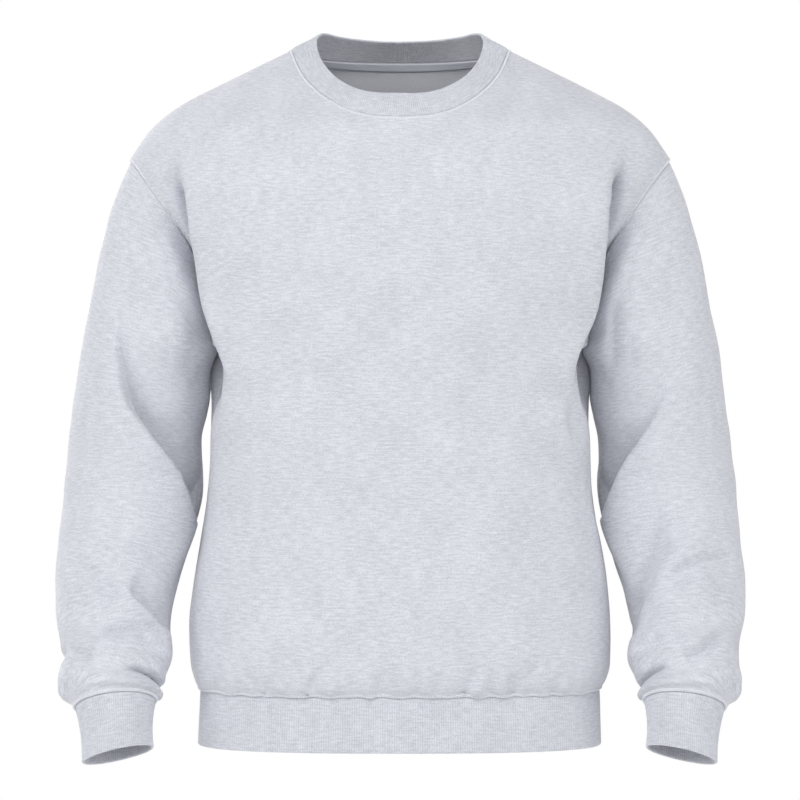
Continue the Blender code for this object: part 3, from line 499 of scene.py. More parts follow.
def column_places():
    """Each column's share of the way across a panel, and its place among the solids' columns."""
    cad = np.linspace(0, CAD_COLUMNS, CAD_COLUMNS * 100 + 1)
    even = cad * 2 / CAD_COLUMNS - 1
    share = ((1 - SIDE_BIAS) * even + SIDE_BIAS * np.sin(even * math.pi / 2) + 1) / 2
    neck_start = np.interp(CAD_SHOULDER, cad, share)
    shoulder = seam_spaced(neck_start * CHEST_LENGTH, BODY_STEP, end=False) / CHEST_LENGTH
    count = round((1 - 2 * neck_start) * CHEST_LENGTH / BODY_STEP)
    neck = np.linspace(neck_start, 1 - neck_start, count + count % 2 + 1)
    across = np.concatenate([shoulder, neck[1:-1], 1 - shoulder[::-1]])
    return across, np.interp(across, share, cad), len(shoulder) - 1


ACROSS, CAD_PLACE, NECK_START = column_places()
NECK_SPAN = slice(NECK_START, len(ACROSS) - NECK_START)
SIDE_HEIGHTS = BODY["height"][-1] + seam_spaced(SIDE_LENGTH, BODY_STEP, end=False)
PIT = len(SIDE_HEIGHTS) - 1
ARM_SHARES = seam_spaced(ARMHOLE_LENGTH, ARMHOLE_STEP) / ARMHOLE_LENGTH
ARM_ROWS = len(ARM_SHARES) - 1


def armhole_turns(face):
    """The turns of a panel's rows from the armpit to the shoulder tip, evenly along the armhole."""
    turns = np.linspace(180, 0, SAMPLES)
    length = travelled(armhole(turns, face, 1)[:, None], 0)[:, 0]
    found = np.interp(ARM_SHARES * length[-1], length, turns)
    found[0], found[-1] = 180, 0
    return found


ARM_TURNS = {face: armhole_turns(face) for face in ("front", "back")}


def top_row(face):
    part = ACROSS[:NECK_START + 1] / ACROSS[NECK_START]
    away = (CAD_PLACE[NECK_SPAN] - CAD_SHOULDER) * 180 / (CAD_COLUMNS - 2 * CAD_SHOULDER)
    lean = np.minimum(away, 180 - away)
    turns = 90 - lean if face == "front" else 90 + lean
    half = len(turns) // 2 + 1
    left = np.concatenate([shoulder_seam(part, -1), neck_seam(turns[:half], -1)[1:]])
    return np.concatenate([left, left[:-1][::-1] * (-1, 1, 1)])


def panel_points(face):
    """The middle of a body panel's cloth: rows from the waist seam up, columns from -X to +X."""
    rows = []
    for height in SIDE_HEIGHTS:
        x = section_x(height, face, ACROSS)
        rows.append(body_point(x, np.full_like(x, height), face))
    pit, top = rows[-1], top_row(face)
    t = ARM_SHARES[1:-1, None, None]
    edge = armhole(ARM_TURNS[face][1:-1], face, -1)[:, None]
    bulge = edge - ((1 - t) * pit[0] + t * top[0])
    share = np.abs(1 - 2 * ACROSS)
    spread = np.stack([1 - 2 * ACROSS, share, ease(share)], axis=1)
    between = settle((1 - t) * pit + t * top + bulge * spread, face)
    between[:, 0] = edge[:, 0]
    between[:, -1] = edge[:, 0] * (-1, 1, 1)
    points = np.concatenate([np.array(rows), between, top[None]])
    folded = points.copy()
    folded[..., 0] = np.abs(folded[..., 0])
    away = np.linalg.norm(folded - folded[PIT, -1], axis=-1)
    tuck = ARMPIT_TUCK["depth"] * np.exp(-(away / ARMPIT_TUCK["reach"]) ** 2)
    tuck *= ease(away / ARMPIT_TUCK["start"])
    across = travelled(points, 1)
    edge_gap = np.minimum(across, across[:, -1:] - across)
    tuck[PIT:] *= ease(edge_gap[PIT:] / ARMPIT_TUCK["start"])
    points[..., 0] -= tuck * np.sign(points[..., 0])
    return points


# The sleeves' form

def sleeve_ring(along, turns, side):
    def value(column, at=along):
        return smooth(SLEEVE, "along", column, at)

    def middle(at):
        across = side * (value("outer_x", at) + value("inner_x", at)) / 2
        return np.array([across, value("middle_y", at), (value("outer_z", at) + value("inner_z", at)) / 2])

    outward = np.array([side * (value("outer_x") - value("inner_x")) / 2, 0.0,
                        (value("outer_z") - value("inner_z")) / 2])
    run = unit(middle(min(along + 0.5, SLEEVE_END)) - middle(max(along - 0.5, 0)))
    forward = facing(unit(np.cross(outward, run)), (0, -1, 0)) * value("half_depth")
    angle = np.radians(turns)[:, None]
    return middle(along) + outward * np.cos(angle) + forward * np.sin(angle)


def armhole_ring(turns, side):
    front = armhole(np.minimum(turns, 180), "front", side)
    back = armhole(np.minimum(360 - turns, 180), "back", side)
    return np.where((turns <= 180)[:, None], front, back)


def sleeve_points(side):
    """The middle of a sleeve's cloth: rings from the armhole to the cuff; where its points lie on it."""
    seam_turns = np.concatenate([ARM_TURNS["front"][::-1], 360 - ARM_TURNS["back"][1:-1]])
    even = ARM_SHARES[::-1] * -180 + 180
    even_turns = np.concatenate([even, 360 - even[-2:0:-1]])
    places = seam_spaced(SLEEVE_LENGTH, SLEEVE_STEP) / SLEEVE_LENGTH * SLEEVE_END
    rings = []
    turn_rows = []
    for along in places:
        mix = ease(along / EVEN_RINGS)
        turns = seam_turns * (1 - mix) + even_turns * mix
        fade = max(0.0, 1 - along / ARMHOLE_REACH) ** 2
        start = armhole_ring(turns, side) - sleeve_ring(0.0, turns, side)
        ring = sleeve_ring(along, turns, side) + start * fade
        skew = CUFF_SEAM["outer"] * ease((along - CUFF_SEAM["start"]) / (SLEEVE_END - CUFF_SEAM["start"]))
        ring[:, 2] += skew * (ring[:, 0] - ring[:, 0].mean()) * side / CUFF_HALF
        rings.append(ring)
        turn_rows.append(turns)
    return np.array(rings), places, np.array(turn_rows)


# Normals and folds

def grid_normals(points, outward, closed=False):
    if closed:
        around = np.roll(points, -1, axis=1) - np.roll(points, 1, axis=1)
    else:
        around = np.gradient(points, axis=1)
    return facing(unit(np.cross(np.gradient(points, axis=0), around)), outward)


def ring_normals(points, direction, outward):
    around = np.roll(points, -1, axis=0) - np.roll(points, 1, axis=0)
    return facing(unit(np.cross(around, direction)), outward)


def crest_offset(places, path, outer):
    """Signed distance of each place from a crest, its share of the way along it, and the way across it."""
    crest = curve_through(path, CREST_POINTS)
    steps = np.gradient(crest, axis=0)
    runs, last = unit(steps), CREST_POINTS - 1
    gaps = places[..., None, :] - crest
    nearest = np.argmin(np.sum(gaps ** 2, axis=-1), axis=-1)
    gap = np.take_along_axis(gaps, nearest[..., None, None], axis=-2)[..., 0, :]
    ahead = np.sum(gap * runs[nearest], axis=-1) / np.linalg.norm(steps, axis=-1)[nearest]
    place = np.clip(nearest + ahead, 0, last)
    low = np.minimum(place.astype(int), last - 1)
    t = (place - low)[..., None]
    gap = places - crest[low] * (1 - t) - crest[low + 1] * t
    run = unit(runs[low] * (1 - t) + runs[low + 1] * t)
    across = np.stack([run[..., 1], -run[..., 0]], axis=-1) * outer
    side = np.sign(np.sum(across * gap, axis=-1))
    return np.linalg.norm(gap, axis=-1) * np.where(side == 0, 1, side), place / last, across


def fold_shape(offset, part, row):
    """How far a fold lifts each point, and how far it pushes it over to its steep side."""
    taper = ease(part / row["grow"]) * ease((1 - part) / row["fade"])
    if row["hang"]:
        offset = offset - (row["hang"] + row["steep_fall"] * CREST_BACK) * taper
    steep = offset < 0
    lift = row["height"] * np.exp(-(offset / np.where(steep, row["steep_fall"], row["soft_fall"])) ** 2)
    foot = FOLD_FOOT * row["steep_fall"]
    beyond = np.maximum(-offset - foot, 0.0)
    dip = row["dip"] * ease(-offset / foot) * np.exp(-(beyond / row["dip_reach"]) ** 2)
    reach = row["steep_fall"] * np.where(steep, *HANG_FALL)
    return (lift - dip * taper) * taper, row["hang"] * taper * np.exp(-(offset / reach) ** 2)


def fold_row(fold):
    """A fold's numbers by name. A soft one has no hang, and may leave out how it grows and fades."""
    if len(fold) < len(FOLD_COLUMNS):
        fold = fold[:4] + NO_HANG + (fold[4:] or FOLD_ENDS)
    return dict(zip(FOLD_COLUMNS, fold))


def folded(places, folds, outer_sides):
    """The lift of every fold at each place, and the shift of its crest across the places' plane."""
    lift = np.zeros(places.shape[:-1])
    shift = np.zeros(places.shape)
    for fold, outer in zip(folds, outer_sides):
        row = fold_row(fold)
        offset, part, across = crest_offset(places, row["path"], outer)
        rise, hang = fold_shape(offset, part, row)
        lift += rise
        shift -= across * hang[..., None]
    return lift, shift


def pressed(points):
    """How far the arms press the cloth in beside the lower armhole, towards the middle of its depth."""
    push = np.zeros(points.shape[:-1])
    turns = np.linspace(PRESSED["turn"][0], PRESSED["turn"][-1], PRESSED_POINTS)
    for face, forward in (("front", -1.0), ("back", 1.0)):
        shares = smooth(PRESSED, "turn", face, turns)
        facing_share = ease(points[..., 1] * forward / PRESSED_FADE)
        for side in SIDES.values():
            seam = armhole(turns, face, side)
            gaps = points[..., None, (0, 2)] - seam[:, (0, 2)]
            squared = np.sum(gaps ** 2, axis=-1)
            nearest = np.argmin(squared, axis=-1)
            gap = np.take_along_axis(gaps, nearest[..., None, None], axis=-2)[..., 0, :]
            fall = np.where(gap[..., 0] * side < 0, PRESSED_FALL["body"], PRESSED_FALL["sleeve"])
            depth = -seam[nearest, 1] * shares[nearest]
            push += depth * facing_share * np.exp(-np.min(squared, axis=-1) / fall ** 2)
    return push


def swell(points, row):
    """How far the cloth beside the armpit swells out from the body's middle, or in where below zero."""
    rise = points[..., 2] - row["height"]
    up = np.exp(-(rise / np.where(rise > 0, row["above"], row["below"])) ** 2)
    deep = np.exp(-((points[..., 1] - row["depth"]) / row["depth_reach"]) ** 4)
    return np.sign(points[..., 0]) * row["swell"] * up * deep


def armpit_swell(points, swells, beside):
    """The armpit's sink, and the swells that start below it, on the cloth that lies beside it."""
    total = swell(points, dict(zip(SWELL_COLUMNS, ARMPIT_SINK)))
    for numbers in swells:
        row = dict(zip(SWELL_COLUMNS, numbers))
        total = total + swell(points, row) * ease((ARMPIT[1] - points[..., 2]) / row["start"])
    return beside * total


def unevenness(points, kind, seed=0):
    return sum(height * ripple(points, wave, first + seed) for height, wave, first in UNEVEN[kind])


def fold_panel(points, face):
    """A panel's middle points with its folds, and their normals."""
    forward = -1.0 if face == "front" else 1.0
    outward = body_normal(points, face)
    folds = PANEL_FOLDS[face]
    lift, shift = folded(points[..., (0, 2)], folds, [-1 if fold[0][0][0] < 0 else 1 for fold in folds])
    across = travelled(points, 1)
    up = travelled(points, 0)
    seam = PANEL_EASE["seam"]
    beside = seam + (PANEL_EASE["side"] - seam) * ease((ARMPIT[1] - points[:, :1, 2]) / PANEL_EASE["side"])
    inside = ease(across / beside) * ease((across[:, -1:] - across) / beside)
    inside = inside * ease(up / seam) * ease((up[-1:] - up) / PANEL_EASE["top"])
    foldable = inside * ease(np.abs(outward[..., 1]) / SIDEWAYS)
    gathers = ripple(points[..., :1], GATHERS["length"], GATHERS["seed"]) * GATHERS["height"]
    gathers = gathers * np.exp(-(up / GATHERS["reach"]) ** 2)
    uneven = unevenness(points, "panel") + gathers
    moved = points + outward * (uneven * inside)[..., None]
    start, width = OUTER_PART
    outer_part = ease((np.abs(points[..., 0]) - start) / width)
    moved[..., 0] += shift[..., 0] * foldable + armpit_swell(points, SIDE_SWELLS, outer_part)
    moved[..., 1] += forward * lift * foldable + pressed(points)
    moved[..., 2] += shift[..., 1] * foldable
    return moved, grid_normals(moved, outward)


def fold_sleeve(name, side):
    """A sleeve's middle points with its folds, and their normals."""
    points, along, turns = sleeve_points(side)
    outward = points - points.mean(axis=1, keepdims=True)
    normals = grid_normals(points, outward, closed=True)
    scale = np.array([RING_LENGTH, DEGREE_LENGTH])
    places = np.stack([np.broadcast_to(along[:, None], turns.shape), turns], axis=-1) * scale
    folds = [((np.array(fold[0]) + (0, turned)) * scale,) + fold[1:]
             for fold in SLEEVE_FOLDS[name] for turned in (-360, 0, 360)]
    lift, shift = folded(places, folds, [1] * len(folds))
    inside = ease(along / SLEEVE_EASE["start"]) * ease((SLEEVE_END - along) / SLEEVE_EASE["end"])
    inside = inside[:, None]
    uneven = unevenness(points, "sleeve", side)
    down = unit(np.gradient(points, axis=0))
    around = unit(np.roll(points, -1, axis=1) - np.roll(points, 1, axis=1))
    moved = points + normals * ((lift + uneven) * inside)[..., None]
    moved = moved + (down * shift[..., :1] + around * shift[..., 1:]) * inside[..., None]
    moved[..., 1] += pressed(points)
    end, width = INNER_PART
    inner_part = ease((end - np.abs(points[..., 0])) / width)
    moved[..., 0] += armpit_swell(points, SLEEVE_SWELLS, inner_part)
    MADE["map_" + name] = sleeve_map(points)
    return moved, grid_normals(moved, normals, closed=True)


# Seams that pieces share

def closed_line(points, count):
    """Evenly spaced points on a closed line."""
    loop = np.concatenate([points, points[:1]])
    length = travelled(loop[:, None], 0)[:, 0]
    at = np.arange(count) / count * length[-1]
    return np.stack([np.interp(at, length, loop[:, axis]) for axis in range(loop.shape[1])], axis=1)


def body_normals_at(ring, on_back):
    return np.where(on_back[:, None], body_normal(ring, "back"), body_normal(ring, "front"))


def neck_rings(turns):
    """The collar's seam and rim, each as points and normals, at turns up to 360 round the neck by +X."""
    half = np.minimum(turns, 360 - turns)
    side = np.where(turns <= 180, 1, -1)
    seam, rim = neck_seam(half, side), neck_rim(half, side)
    lift = (0, 0, COLLAR_LOOK_UP)
    stand = ring_normals(seam, rim - seam, seam * (1, 1, 0) + lift)
    shared = unit(body_normals_at(seam, half > 90) + stand)
    return (seam, shared), (rim, ring_normals(rim, rim - seam, rim * (1, 1, 0) + lift))


def waist_rings(seam, own_normals):
    hem = seam * (HEM_FLARE, HEM_FLARE, 0) + (0, 0, HEM_HEIGHT)
    stand = ring_normals(seam, hem - seam, seam * (1, 1, 0))
    shared = unit(own_normals + stand)
    return (seam, shared), (hem, ring_normals(hem, hem - seam, hem * (1, 1, 0)))


def cuff_rings(seam, sleeve_normals, side):
    middle = seam.mean(axis=0)
    lean = unit(np.array(CUFF_LEAN) * (side, 1, 1))
    rim = middle + (seam - middle) * CUFF_TAPER + lean * CUFF_LENGTH
    out = (seam - middle) / CUFF_HALF
    rim[:, 2] += CUFF_RIM["rise"] + CUFF_RIM["back"] * out[:, 1] + CUFF_RIM["outer"] * out[:, 0] * side
    shared = unit(ring_normals(seam, rim - seam, seam - middle) + sleeve_normals)
    return (seam, shared), (rim, ring_normals(rim, rim - seam, seam - middle))


def seam_profile(distance, seam):
    """How far the outer face stands from its cloth at a distance from a seam."""
    rise, top, fall, end = RIDGE
    ridge = ease((distance - rise) / (top - rise)) * (1 - ease((distance - fall) / (end - fall)))
    return SEAMS[seam]["ridge"] * ridge - SEAMS[seam]["groove"] * np.exp(-(distance / GROOVE_WIDTH) ** 2)


def weld_normals(grids):
    """Gives points that several pieces share one normal, the middle of their own."""
    total = {}
    for points, normals, seams in grids:
        for place in seams:
            key = tuple(np.round(points[place], 2))
            total[key] = total.get(key, 0.0) + normals[place]
    for points, normals, seams in grids:
        for place in seams:
            normals[place] = unit(total[tuple(np.round(points[place], 2))])


def cut_garment():
    """Every jersey piece's middle points and normals, and the ring of the waist seam."""
    sleeves = {name: fold_sleeve(name, side) for name, side in SIDES.items()}
    panels = {face: fold_panel(panel_points(face), face) for face in ("front", "back")}
    last_row, last_column = len(panels["front"][0]) - 1, len(ACROSS) - 1
    sides = [(row, column) for row in range(last_row + 1) for column in (0, last_column)]
    shoulders = [(last_row, column) for column in range(1, last_column)
                 if column < NECK_START or column > last_column - NECK_START]
    grids = [(points, normals, sides + shoulders) for points, normals in panels.values()]
    for points, normals in sleeves.values():
        grids.append((points, normals, [(0, column) for column in range(points.shape[1])]))
    weld_normals(grids)
    waist = np.concatenate([panels["front"][0][0], panels["back"][0][0][1:-1][::-1]])
    waist_own = np.concatenate([panels["front"][1][0], panels["back"][1][0][1:-1][::-1]])
    waist_normals = waist_rings(waist, waist_own)[0][1]
    away = (CAD_PLACE[NECK_SPAN] - CAD_COLUMNS / 2) * 180 / (CAD_COLUMNS - 2 * CAD_SHOULDER)
    for face, (points, normals) in panels.items():
        turns = (away if face == "front" else 180 - away) % 360
        normals[-1, NECK_SPAN] = neck_normals_at(turns)
        columns = np.arange(len(ACROSS))
        normals[0] = waist_normals[(columns if face == "front" else -columns) % len(waist)]
    for name, side in SIDES.items():
        points, normals = sleeves[name]
        normals[-1] = cuff_rings(points[-1], normals[-1], side)[0][1]
    return panels, sleeves, (waist, waist_own)


def neck_normals_at(turns):
    """The shared normals of the neck seam at some of its turns, found on a full fine ring."""
    fine = np.arange(0, 360, 0.5)
    normals = neck_rings(fine)[0][1]
    wrapped = np.concatenate([normals, normals[:1]])
    places = np.append(fine, 360)
    return unit(np.stack([np.interp(turns, places, wrapped[:, axis]) for axis in range(3)], axis=1))


def panel_heights(points):
    """How far a panel's outer face stands from its cloth at its seams."""
    across, up = travelled(points, 1), travelled(points, 0)
    down = up[-1:] - up
    heights = seam_profile(up, "waist")
    for gap in (across, across[:, -1:] - across):
        heights[:PIT] += seam_profile(gap[:PIT], "side")
        heights[PIT:] += seam_profile(gap[PIT:], "armhole")
    blend = NECK_BLEND / CHEST_LENGTH
    inward = ACROSS - ACROSS[NECK_START], 1 - ACROSS[NECK_START] - ACROSS
    neck = ease(inward[0] / blend + 0.5) * ease(inward[1] / blend + 0.5)
    heights += neck * seam_profile(down, "neck") + (1 - neck) * seam_profile(down, "shoulder")
    return heights


def sleeve_heights(points):
    down = travelled(points, 0)
    around = travelled(np.concatenate([points, points[:, :1]], axis=1), 1)[:, :-1]
    under = np.abs(around - around[:, ARM_ROWS:ARM_ROWS + 1])
    heights = seam_profile(down, "sleeve_head") + seam_profile(down[-1:] - down, "cuff")
    return heights + seam_profile(under, "side")


# Meshes

def grid_quads(rows, columns, closed, rolled=False):
    """Corner numbers of a grid's quads, row by row. A closed grid's columns meet, a rolled one's rows too."""
    numbers = np.arange(rows * columns).reshape(rows, columns)
    if rolled:
        numbers = np.concatenate([numbers, numbers[:1]])
    after = np.roll(numbers, -1, axis=1) if closed else numbers[:, 1:]
    before = numbers if closed else numbers[:, :-1]
    return np.stack([before[:-1], after[:-1], after[1:], before[1:]], axis=-1).reshape(-1, 4)


def winds_inward(quad, points, normals):
    """Whether a quad of a grid winds against the grid's normals."""
    corner = points.reshape(-1, 3)[quad]
    winding = np.cross(corner[1] - corner[0], corner[3] - corner[0])
    return np.dot(winding, normals.reshape(-1, 3)[quad[0]]) < 0


def edge_quads(rows, columns, closed):
    numbers = np.arange(rows * columns).reshape(rows, columns)
    count = rows * columns
    if closed:
        loops = [np.append(numbers[0], numbers[0, 0]), np.append(numbers[-1], numbers[-1, 0])[::-1]]
    else:
        loops = [np.concatenate([numbers[0], numbers[1:, -1], numbers[-1, -2::-1], numbers[-2::-1, 0]])]
    quads = [np.stack([loop[1:], loop[:-1], loop[:-1] + count, loop[1:] + count], axis=1) for loop in loops]
    return np.concatenate(quads)


def new_object(name, data):
    piece = bpy.data.objects.new(name, data)
    bpy.context.scene.collection.objects.link(piece)
    return piece


def new_mesh(name, points, quads, attributes=None, second=None):
    """A smooth mesh from points in millimetres; faces from one number to another take its second material."""
    mesh = bpy.data.meshes.new(name)
    mesh.from_pydata((points * MM).tolist(), [], quads.tolist())
    for key, values in (attributes or {}).items():
        kind = "FLOAT_VECTOR" if values.ndim == 2 else "FLOAT"
        field = "vector" if values.ndim == 2 else "value"
        layer = mesh.attributes.new(key, kind, "POINT")
        layer.data.foreach_set(field, values.astype(np.float32).ravel())
    if second is not None:
        index = np.zeros(len(quads), dtype=np.int32)
        index[second[0]:second[1]] = 1
        mesh.polygons.foreach_set("material_index", index)
    mesh.shade_smooth()
    mesh.update()
    return new_object(name, mesh)


def set_cloth_map(mesh, across, along, girth=None):
    """A UV map in metres along the knit, from each point's places across and along the cloth.

    On a closed piece girth is the way round it at each point, so that the map runs on where it closes.
    """
    layer = mesh.uv_layers.new(name="knit")
    corners = np.empty(len(mesh.loops), dtype=np.int32)
    mesh.loops.foreach_get("vertex_index", corners)
    places = across[corners]
    if girth is not None:
        quads = places.reshape(-1, 4)
        middle = quads.mean(axis=1, keepdims=True)
        wide = np.ptp(quads, axis=1)[:, None] > girth.min() / 2
        quads += np.where(wide & (quads < middle), girth[corners].reshape(-1, 4), 0.0)
    uv = np.stack([places, along[corners]], axis=1) * MM
    layer.data.foreach_set("uv", uv.astype(np.float32).ravel())


def map_wall(piece, *places):
    """The same cloth map on both faces of a wall."""
    set_cloth_map(piece.data, *(np.tile(part.ravel(), 2) for part in places))


def level_courses(points):
    """Each point's place up a panel, so that the knit's courses lie level."""
    column = points[:, NECK_START]
    height = np.maximum.accumulate(column[:, 2])
    up = travelled(column[:, None], 0)[:, 0]
    return np.interp(points[..., 2], height + np.arange(len(height)) * 1e-6, up)


def sleeve_map(points):
    """Each point's places round and down a sleeve, so that the knit's courses lie square to the arm."""
    middle = points.mean(axis=1)
    run = unit(np.gradient(middle, axis=0))[:, None]
    down = travelled(middle[:, None], 0)
    along = down + np.sum((points - middle[:, None]) * run, axis=-1)
    steps = np.roll(points, -1, axis=1) - points
    steps = np.linalg.norm(steps - np.sum(steps * run, axis=-1, keepdims=True) * run, axis=-1)
    around = np.cumsum(steps, axis=1) - steps
    girth = np.broadcast_to(steps.sum(axis=1, keepdims=True), around.shape)
    return around - around[:, ARM_ROWS:ARM_ROWS + 1], along, girth


def cloth_wall(name, points, normals, heights, thickness, closed, materials):
    """A thin closed wall of cloth, its outer face with the seams' relief, its inner face plain.

    Gives the piece and the points of its outer face.
    """
    rows, columns = points.shape[:2]
    outer = points + normals * (thickness / 2 + heights)[..., None]
    inner = points - normals * thickness / 2
    quads = grid_quads(rows, columns, closed)
    inside = quads[:, ::-1] + rows * columns
    faces = np.concatenate([quads, inside, edge_quads(rows, columns, closed)])
    if winds_inward(quads[len(quads) // 2], points, normals):
        faces = faces[:, ::-1]
    both = np.concatenate([outer.reshape(-1, 3), inner.reshape(-1, 3)])
    piece = new_mesh(name, both, faces, second=(len(quads), 2 * len(quads)))
    for material in materials:
        piece.data.materials.append(material)
    return piece, outer


# Materials

class Nodes:
    """Adds named nodes to a tree, with their inputs set or linked."""

    def __init__(self, tree):
        self.tree = tree

    def add(self, kind, label, inputs=None, **settings):
        node = self.tree.nodes.new(kind)
        node.name = label
        node.label = label
        for key, value in settings.items():
            setattr(node, key, value)
        for key, value in (inputs or {}).items():
            if isinstance(value, bpy.types.NodeSocket):
                self.tree.links.new(value, node.inputs[key])
            else:
                node.inputs[key].default_value = value
        return node

    def math(self, operation, label, *values):
        node = self.add("ShaderNodeMath", label, dict(enumerate(values)), operation=operation)
        return node.outputs["Value"]

    def ranged(self, label, value, start, end, low=0.0, high=1.0):
        """A value that runs from start to end, brought to run from low to high."""
        ends = {"Value": value, "From Min": start, "From Max": end, "To Min": low, "To Max": high}
        return self.add("ShaderNodeMapRange", label, ends).outputs["Result"]

    def noise(self, label, place, scale, detail, roughness=0.5, distortion=0.0):
        inputs = {"Vector": place, "Scale": scale, "Detail": detail, "Roughness": roughness,
                  "Distortion": distortion}
        return self.add("ShaderNodeTexNoise", label, inputs).outputs["Fac"]

    def stretched_noise(self, label, place, scales, detail, roughness):
        stretched = self.add("ShaderNodeMapping", label + " scale", {"Vector": place, "Scale": scales})
        return self.noise(label, stretched.outputs["Vector"], 1.0, detail, roughness)

    def mix(self, label, factor, first, second, **settings):
        """The mix of two colours."""
        inputs = {"Factor": factor, 6: first, 7: second}
        return self.add("ShaderNodeMix", label, inputs, data_type="RGBA", **settings).outputs[2]

    def knit(self):
        """The cloth's own map, and its ways across and along the knit."""
        place = self.add("ShaderNodeUVMap", "Knit map", uv_map="knit").outputs["UV"]
        return place, self.add("ShaderNodeSeparateXYZ", "Knit axes", {"Vector": place}).outputs

    def stored(self, label, name, kind="FLOAT"):
        """A value that the mesh holds for each of its points."""
        return self.add("GeometryNodeInputNamedAttribute", label, {"Name": name},
                        data_type=kind).outputs["Attribute"]


def cloth_shader(name, roughness, sheen):
    """A new cloth material, its nodes and its shader."""
    material = bpy.data.materials.new(name)
    material.use_nodes = True
    shader = material.node_tree.nodes["Principled BSDF"]
    shader.inputs["Roughness"].default_value = roughness
    shader.inputs["Specular IOR Level"].default_value = SPECULAR_LEVEL
    shader.inputs["Sheen Weight"].default_value = sheen
    shader.inputs["Sheen Roughness"].default_value = SHEEN_ROUGHNESS
    return material, Nodes(material.node_tree), shader


def dress(nodes, shader, colour, relief=None, strength=0.0, distance=0.0):
    """Gives a shader its colour and, from a relief, its bump."""
    nodes.tree.links.new(colour, shader.inputs["Base Color"])
    if relief is not None:
        bump = nodes.add("ShaderNodeBump", "Relief bump",
                         {"Height": relief, "Strength": strength, "Distance": distance})
        nodes.tree.links.new(bump.outputs["Normal"], shader.inputs["Normal"])


def heather(nodes, place, tones):
    """Slubbed heather: streaks along the courses, finer fibre mottling and broad clouds of dye."""
    streaks = nodes.stretched_noise("Slub streaks", place, STREAK_SCALE, detail=4.0, roughness=0.62)
    fibres = nodes.stretched_noise("Fibre mottling", place, FIBRE_SCALE, detail=2.0, roughness=0.6)
    clouds = nodes.noise("Dye clouds", place, CLOUD_SCALE, detail=2.0)
    mixed = nodes.math("ADD", "Streaks and fibres", streaks, fibres)
    mixed = nodes.math("MULTIPLY_ADD", "With clouds", clouds, SHARES["clouds"], mixed)
    tone = nodes.ranged("Tone", mixed, *HEATHER_RANGE)
    return nodes.mix("Heather", tone, tones["dark"], tones["light"]), streaks, fibres


def jersey_material(tones):
    """Heather jersey's face: knit wales and courses, slub streaks and soft lint."""
    material, nodes, shader = cloth_shader("heather_jersey", roughness=0.92, sheen=0.4)
    place, axes = nodes.knit()
    colour, streaks, fibres = heather(nodes, place, tones)
    wales = nodes.math("MULTIPLY", "Wales", axes["X"], TURN / WALE_PITCH)
    wave = nodes.math("SINE", "Wale wave", wales)
    courses = nodes.math("MULTIPLY_ADD", "Courses", axes["Y"], TURN / COURSE_PITCH, wave)
    loops = nodes.math("SINE", "Loops", courses)
    relief = nodes.math("MULTIPLY_ADD", "Knit relief", loops, SHARES["jersey_loops"], fibres)
    relief = nodes.math("MULTIPLY_ADD", "Slub relief", streaks, SHARES["streaks"], relief)
    dress(nodes, shader, colour, relief, strength=0.5, distance=0.0004)
    return material


def fleece_material(tones):
    """The brushed inner side: soft tufts without courses."""
    material, nodes, shader = cloth_shader("brushed_fleece", roughness=0.97, sheen=0.35)
    tufts = nodes.noise("Tufts", nodes.knit()[0], TUFT_SCALE, detail=5.0, roughness=0.7, distortion=0.6)
    colour = nodes.mix("Fleece colour", tufts, tones["dark"], tones["light"])
    dress(nodes, shader, colour, tufts, strength=0.7, distance=0.0012)
    return material


def rib_material(tones):
    """Rib knit: the ribs are in the mesh, the loops along each rib and the heather are in the nodes, with
    painted shade in the grooves and a painted highlight on the rib tops.
    """
    material, nodes, shader = cloth_shader("rib_knit", roughness=0.9, sheen=0.36)
    place, axes = nodes.knit()
    colour, _, fibres = heather(nodes, place, tones)
    # painted shade and highlight: the colour is darkened in each groove and paled on each rib's top, by the
    # rib's height
    height = nodes.add("ShaderNodeAttribute", "Rib height", attribute_name="rib_height").outputs["Fac"]
    shade = nodes.ranged("Painted groove shade", height, -1.0, 1.0, *RIB_SHADE_AND_HIGHLIGHT)
    colour = nodes.mix("Painted rib shade and highlight", 1.0, colour, shade, blend_type="MULTIPLY")
    courses = nodes.math("MULTIPLY", "Courses", axes["Y"], TURN / RIB_COURSE_PITCH)
    loops = nodes.math("SINE", "Loops", courses)
    relief = nodes.math("MULTIPLY_ADD", "Rib relief", loops, SHARES["rib_loops"], fibres)
    dress(nodes, shader, colour, relief, strength=0.45, distance=0.0003)
    return material


def tape_material(tones):
    """Twill tape: fine diagonal ribs."""
    material, nodes, shader = cloth_shader("twill_tape", roughness=0.88, sheen=0.1)
    _, axes = nodes.knit()
    diagonal = nodes.math("ADD", "Diagonal", axes["X"], axes["Y"])
    pitches = nodes.math("MULTIPLY", "Twill pitch", diagonal, TURN / TWILL_PITCH)
    twill = nodes.math("SINE", "Twill", pitches)
    tone = nodes.ranged("Twill tone", twill, -1.0, 1.0)
    colour = nodes.mix("Tape colour", tone, tones["dark"], tones["light"])
    dress(nodes, shader, colour, twill, strength=0.4, distance=0.0002)
    return material


def grained_material(name, tones, roughness, sheen, scale, detail):
    """A material of one colour with a fine grain, for the sewing thread and for the floor."""
    material, nodes, shader = cloth_shader(name, roughness, sheen)
    place = nodes.add("ShaderNodeTexCoord", "Place").outputs["Object"]
    grain = nodes.noise("Grain", place, scale, detail)
    dress(nodes, shader, nodes.mix("Grained colour", grain, tones["dark"], tones["light"]))
    return material


# Node trees for what repeats

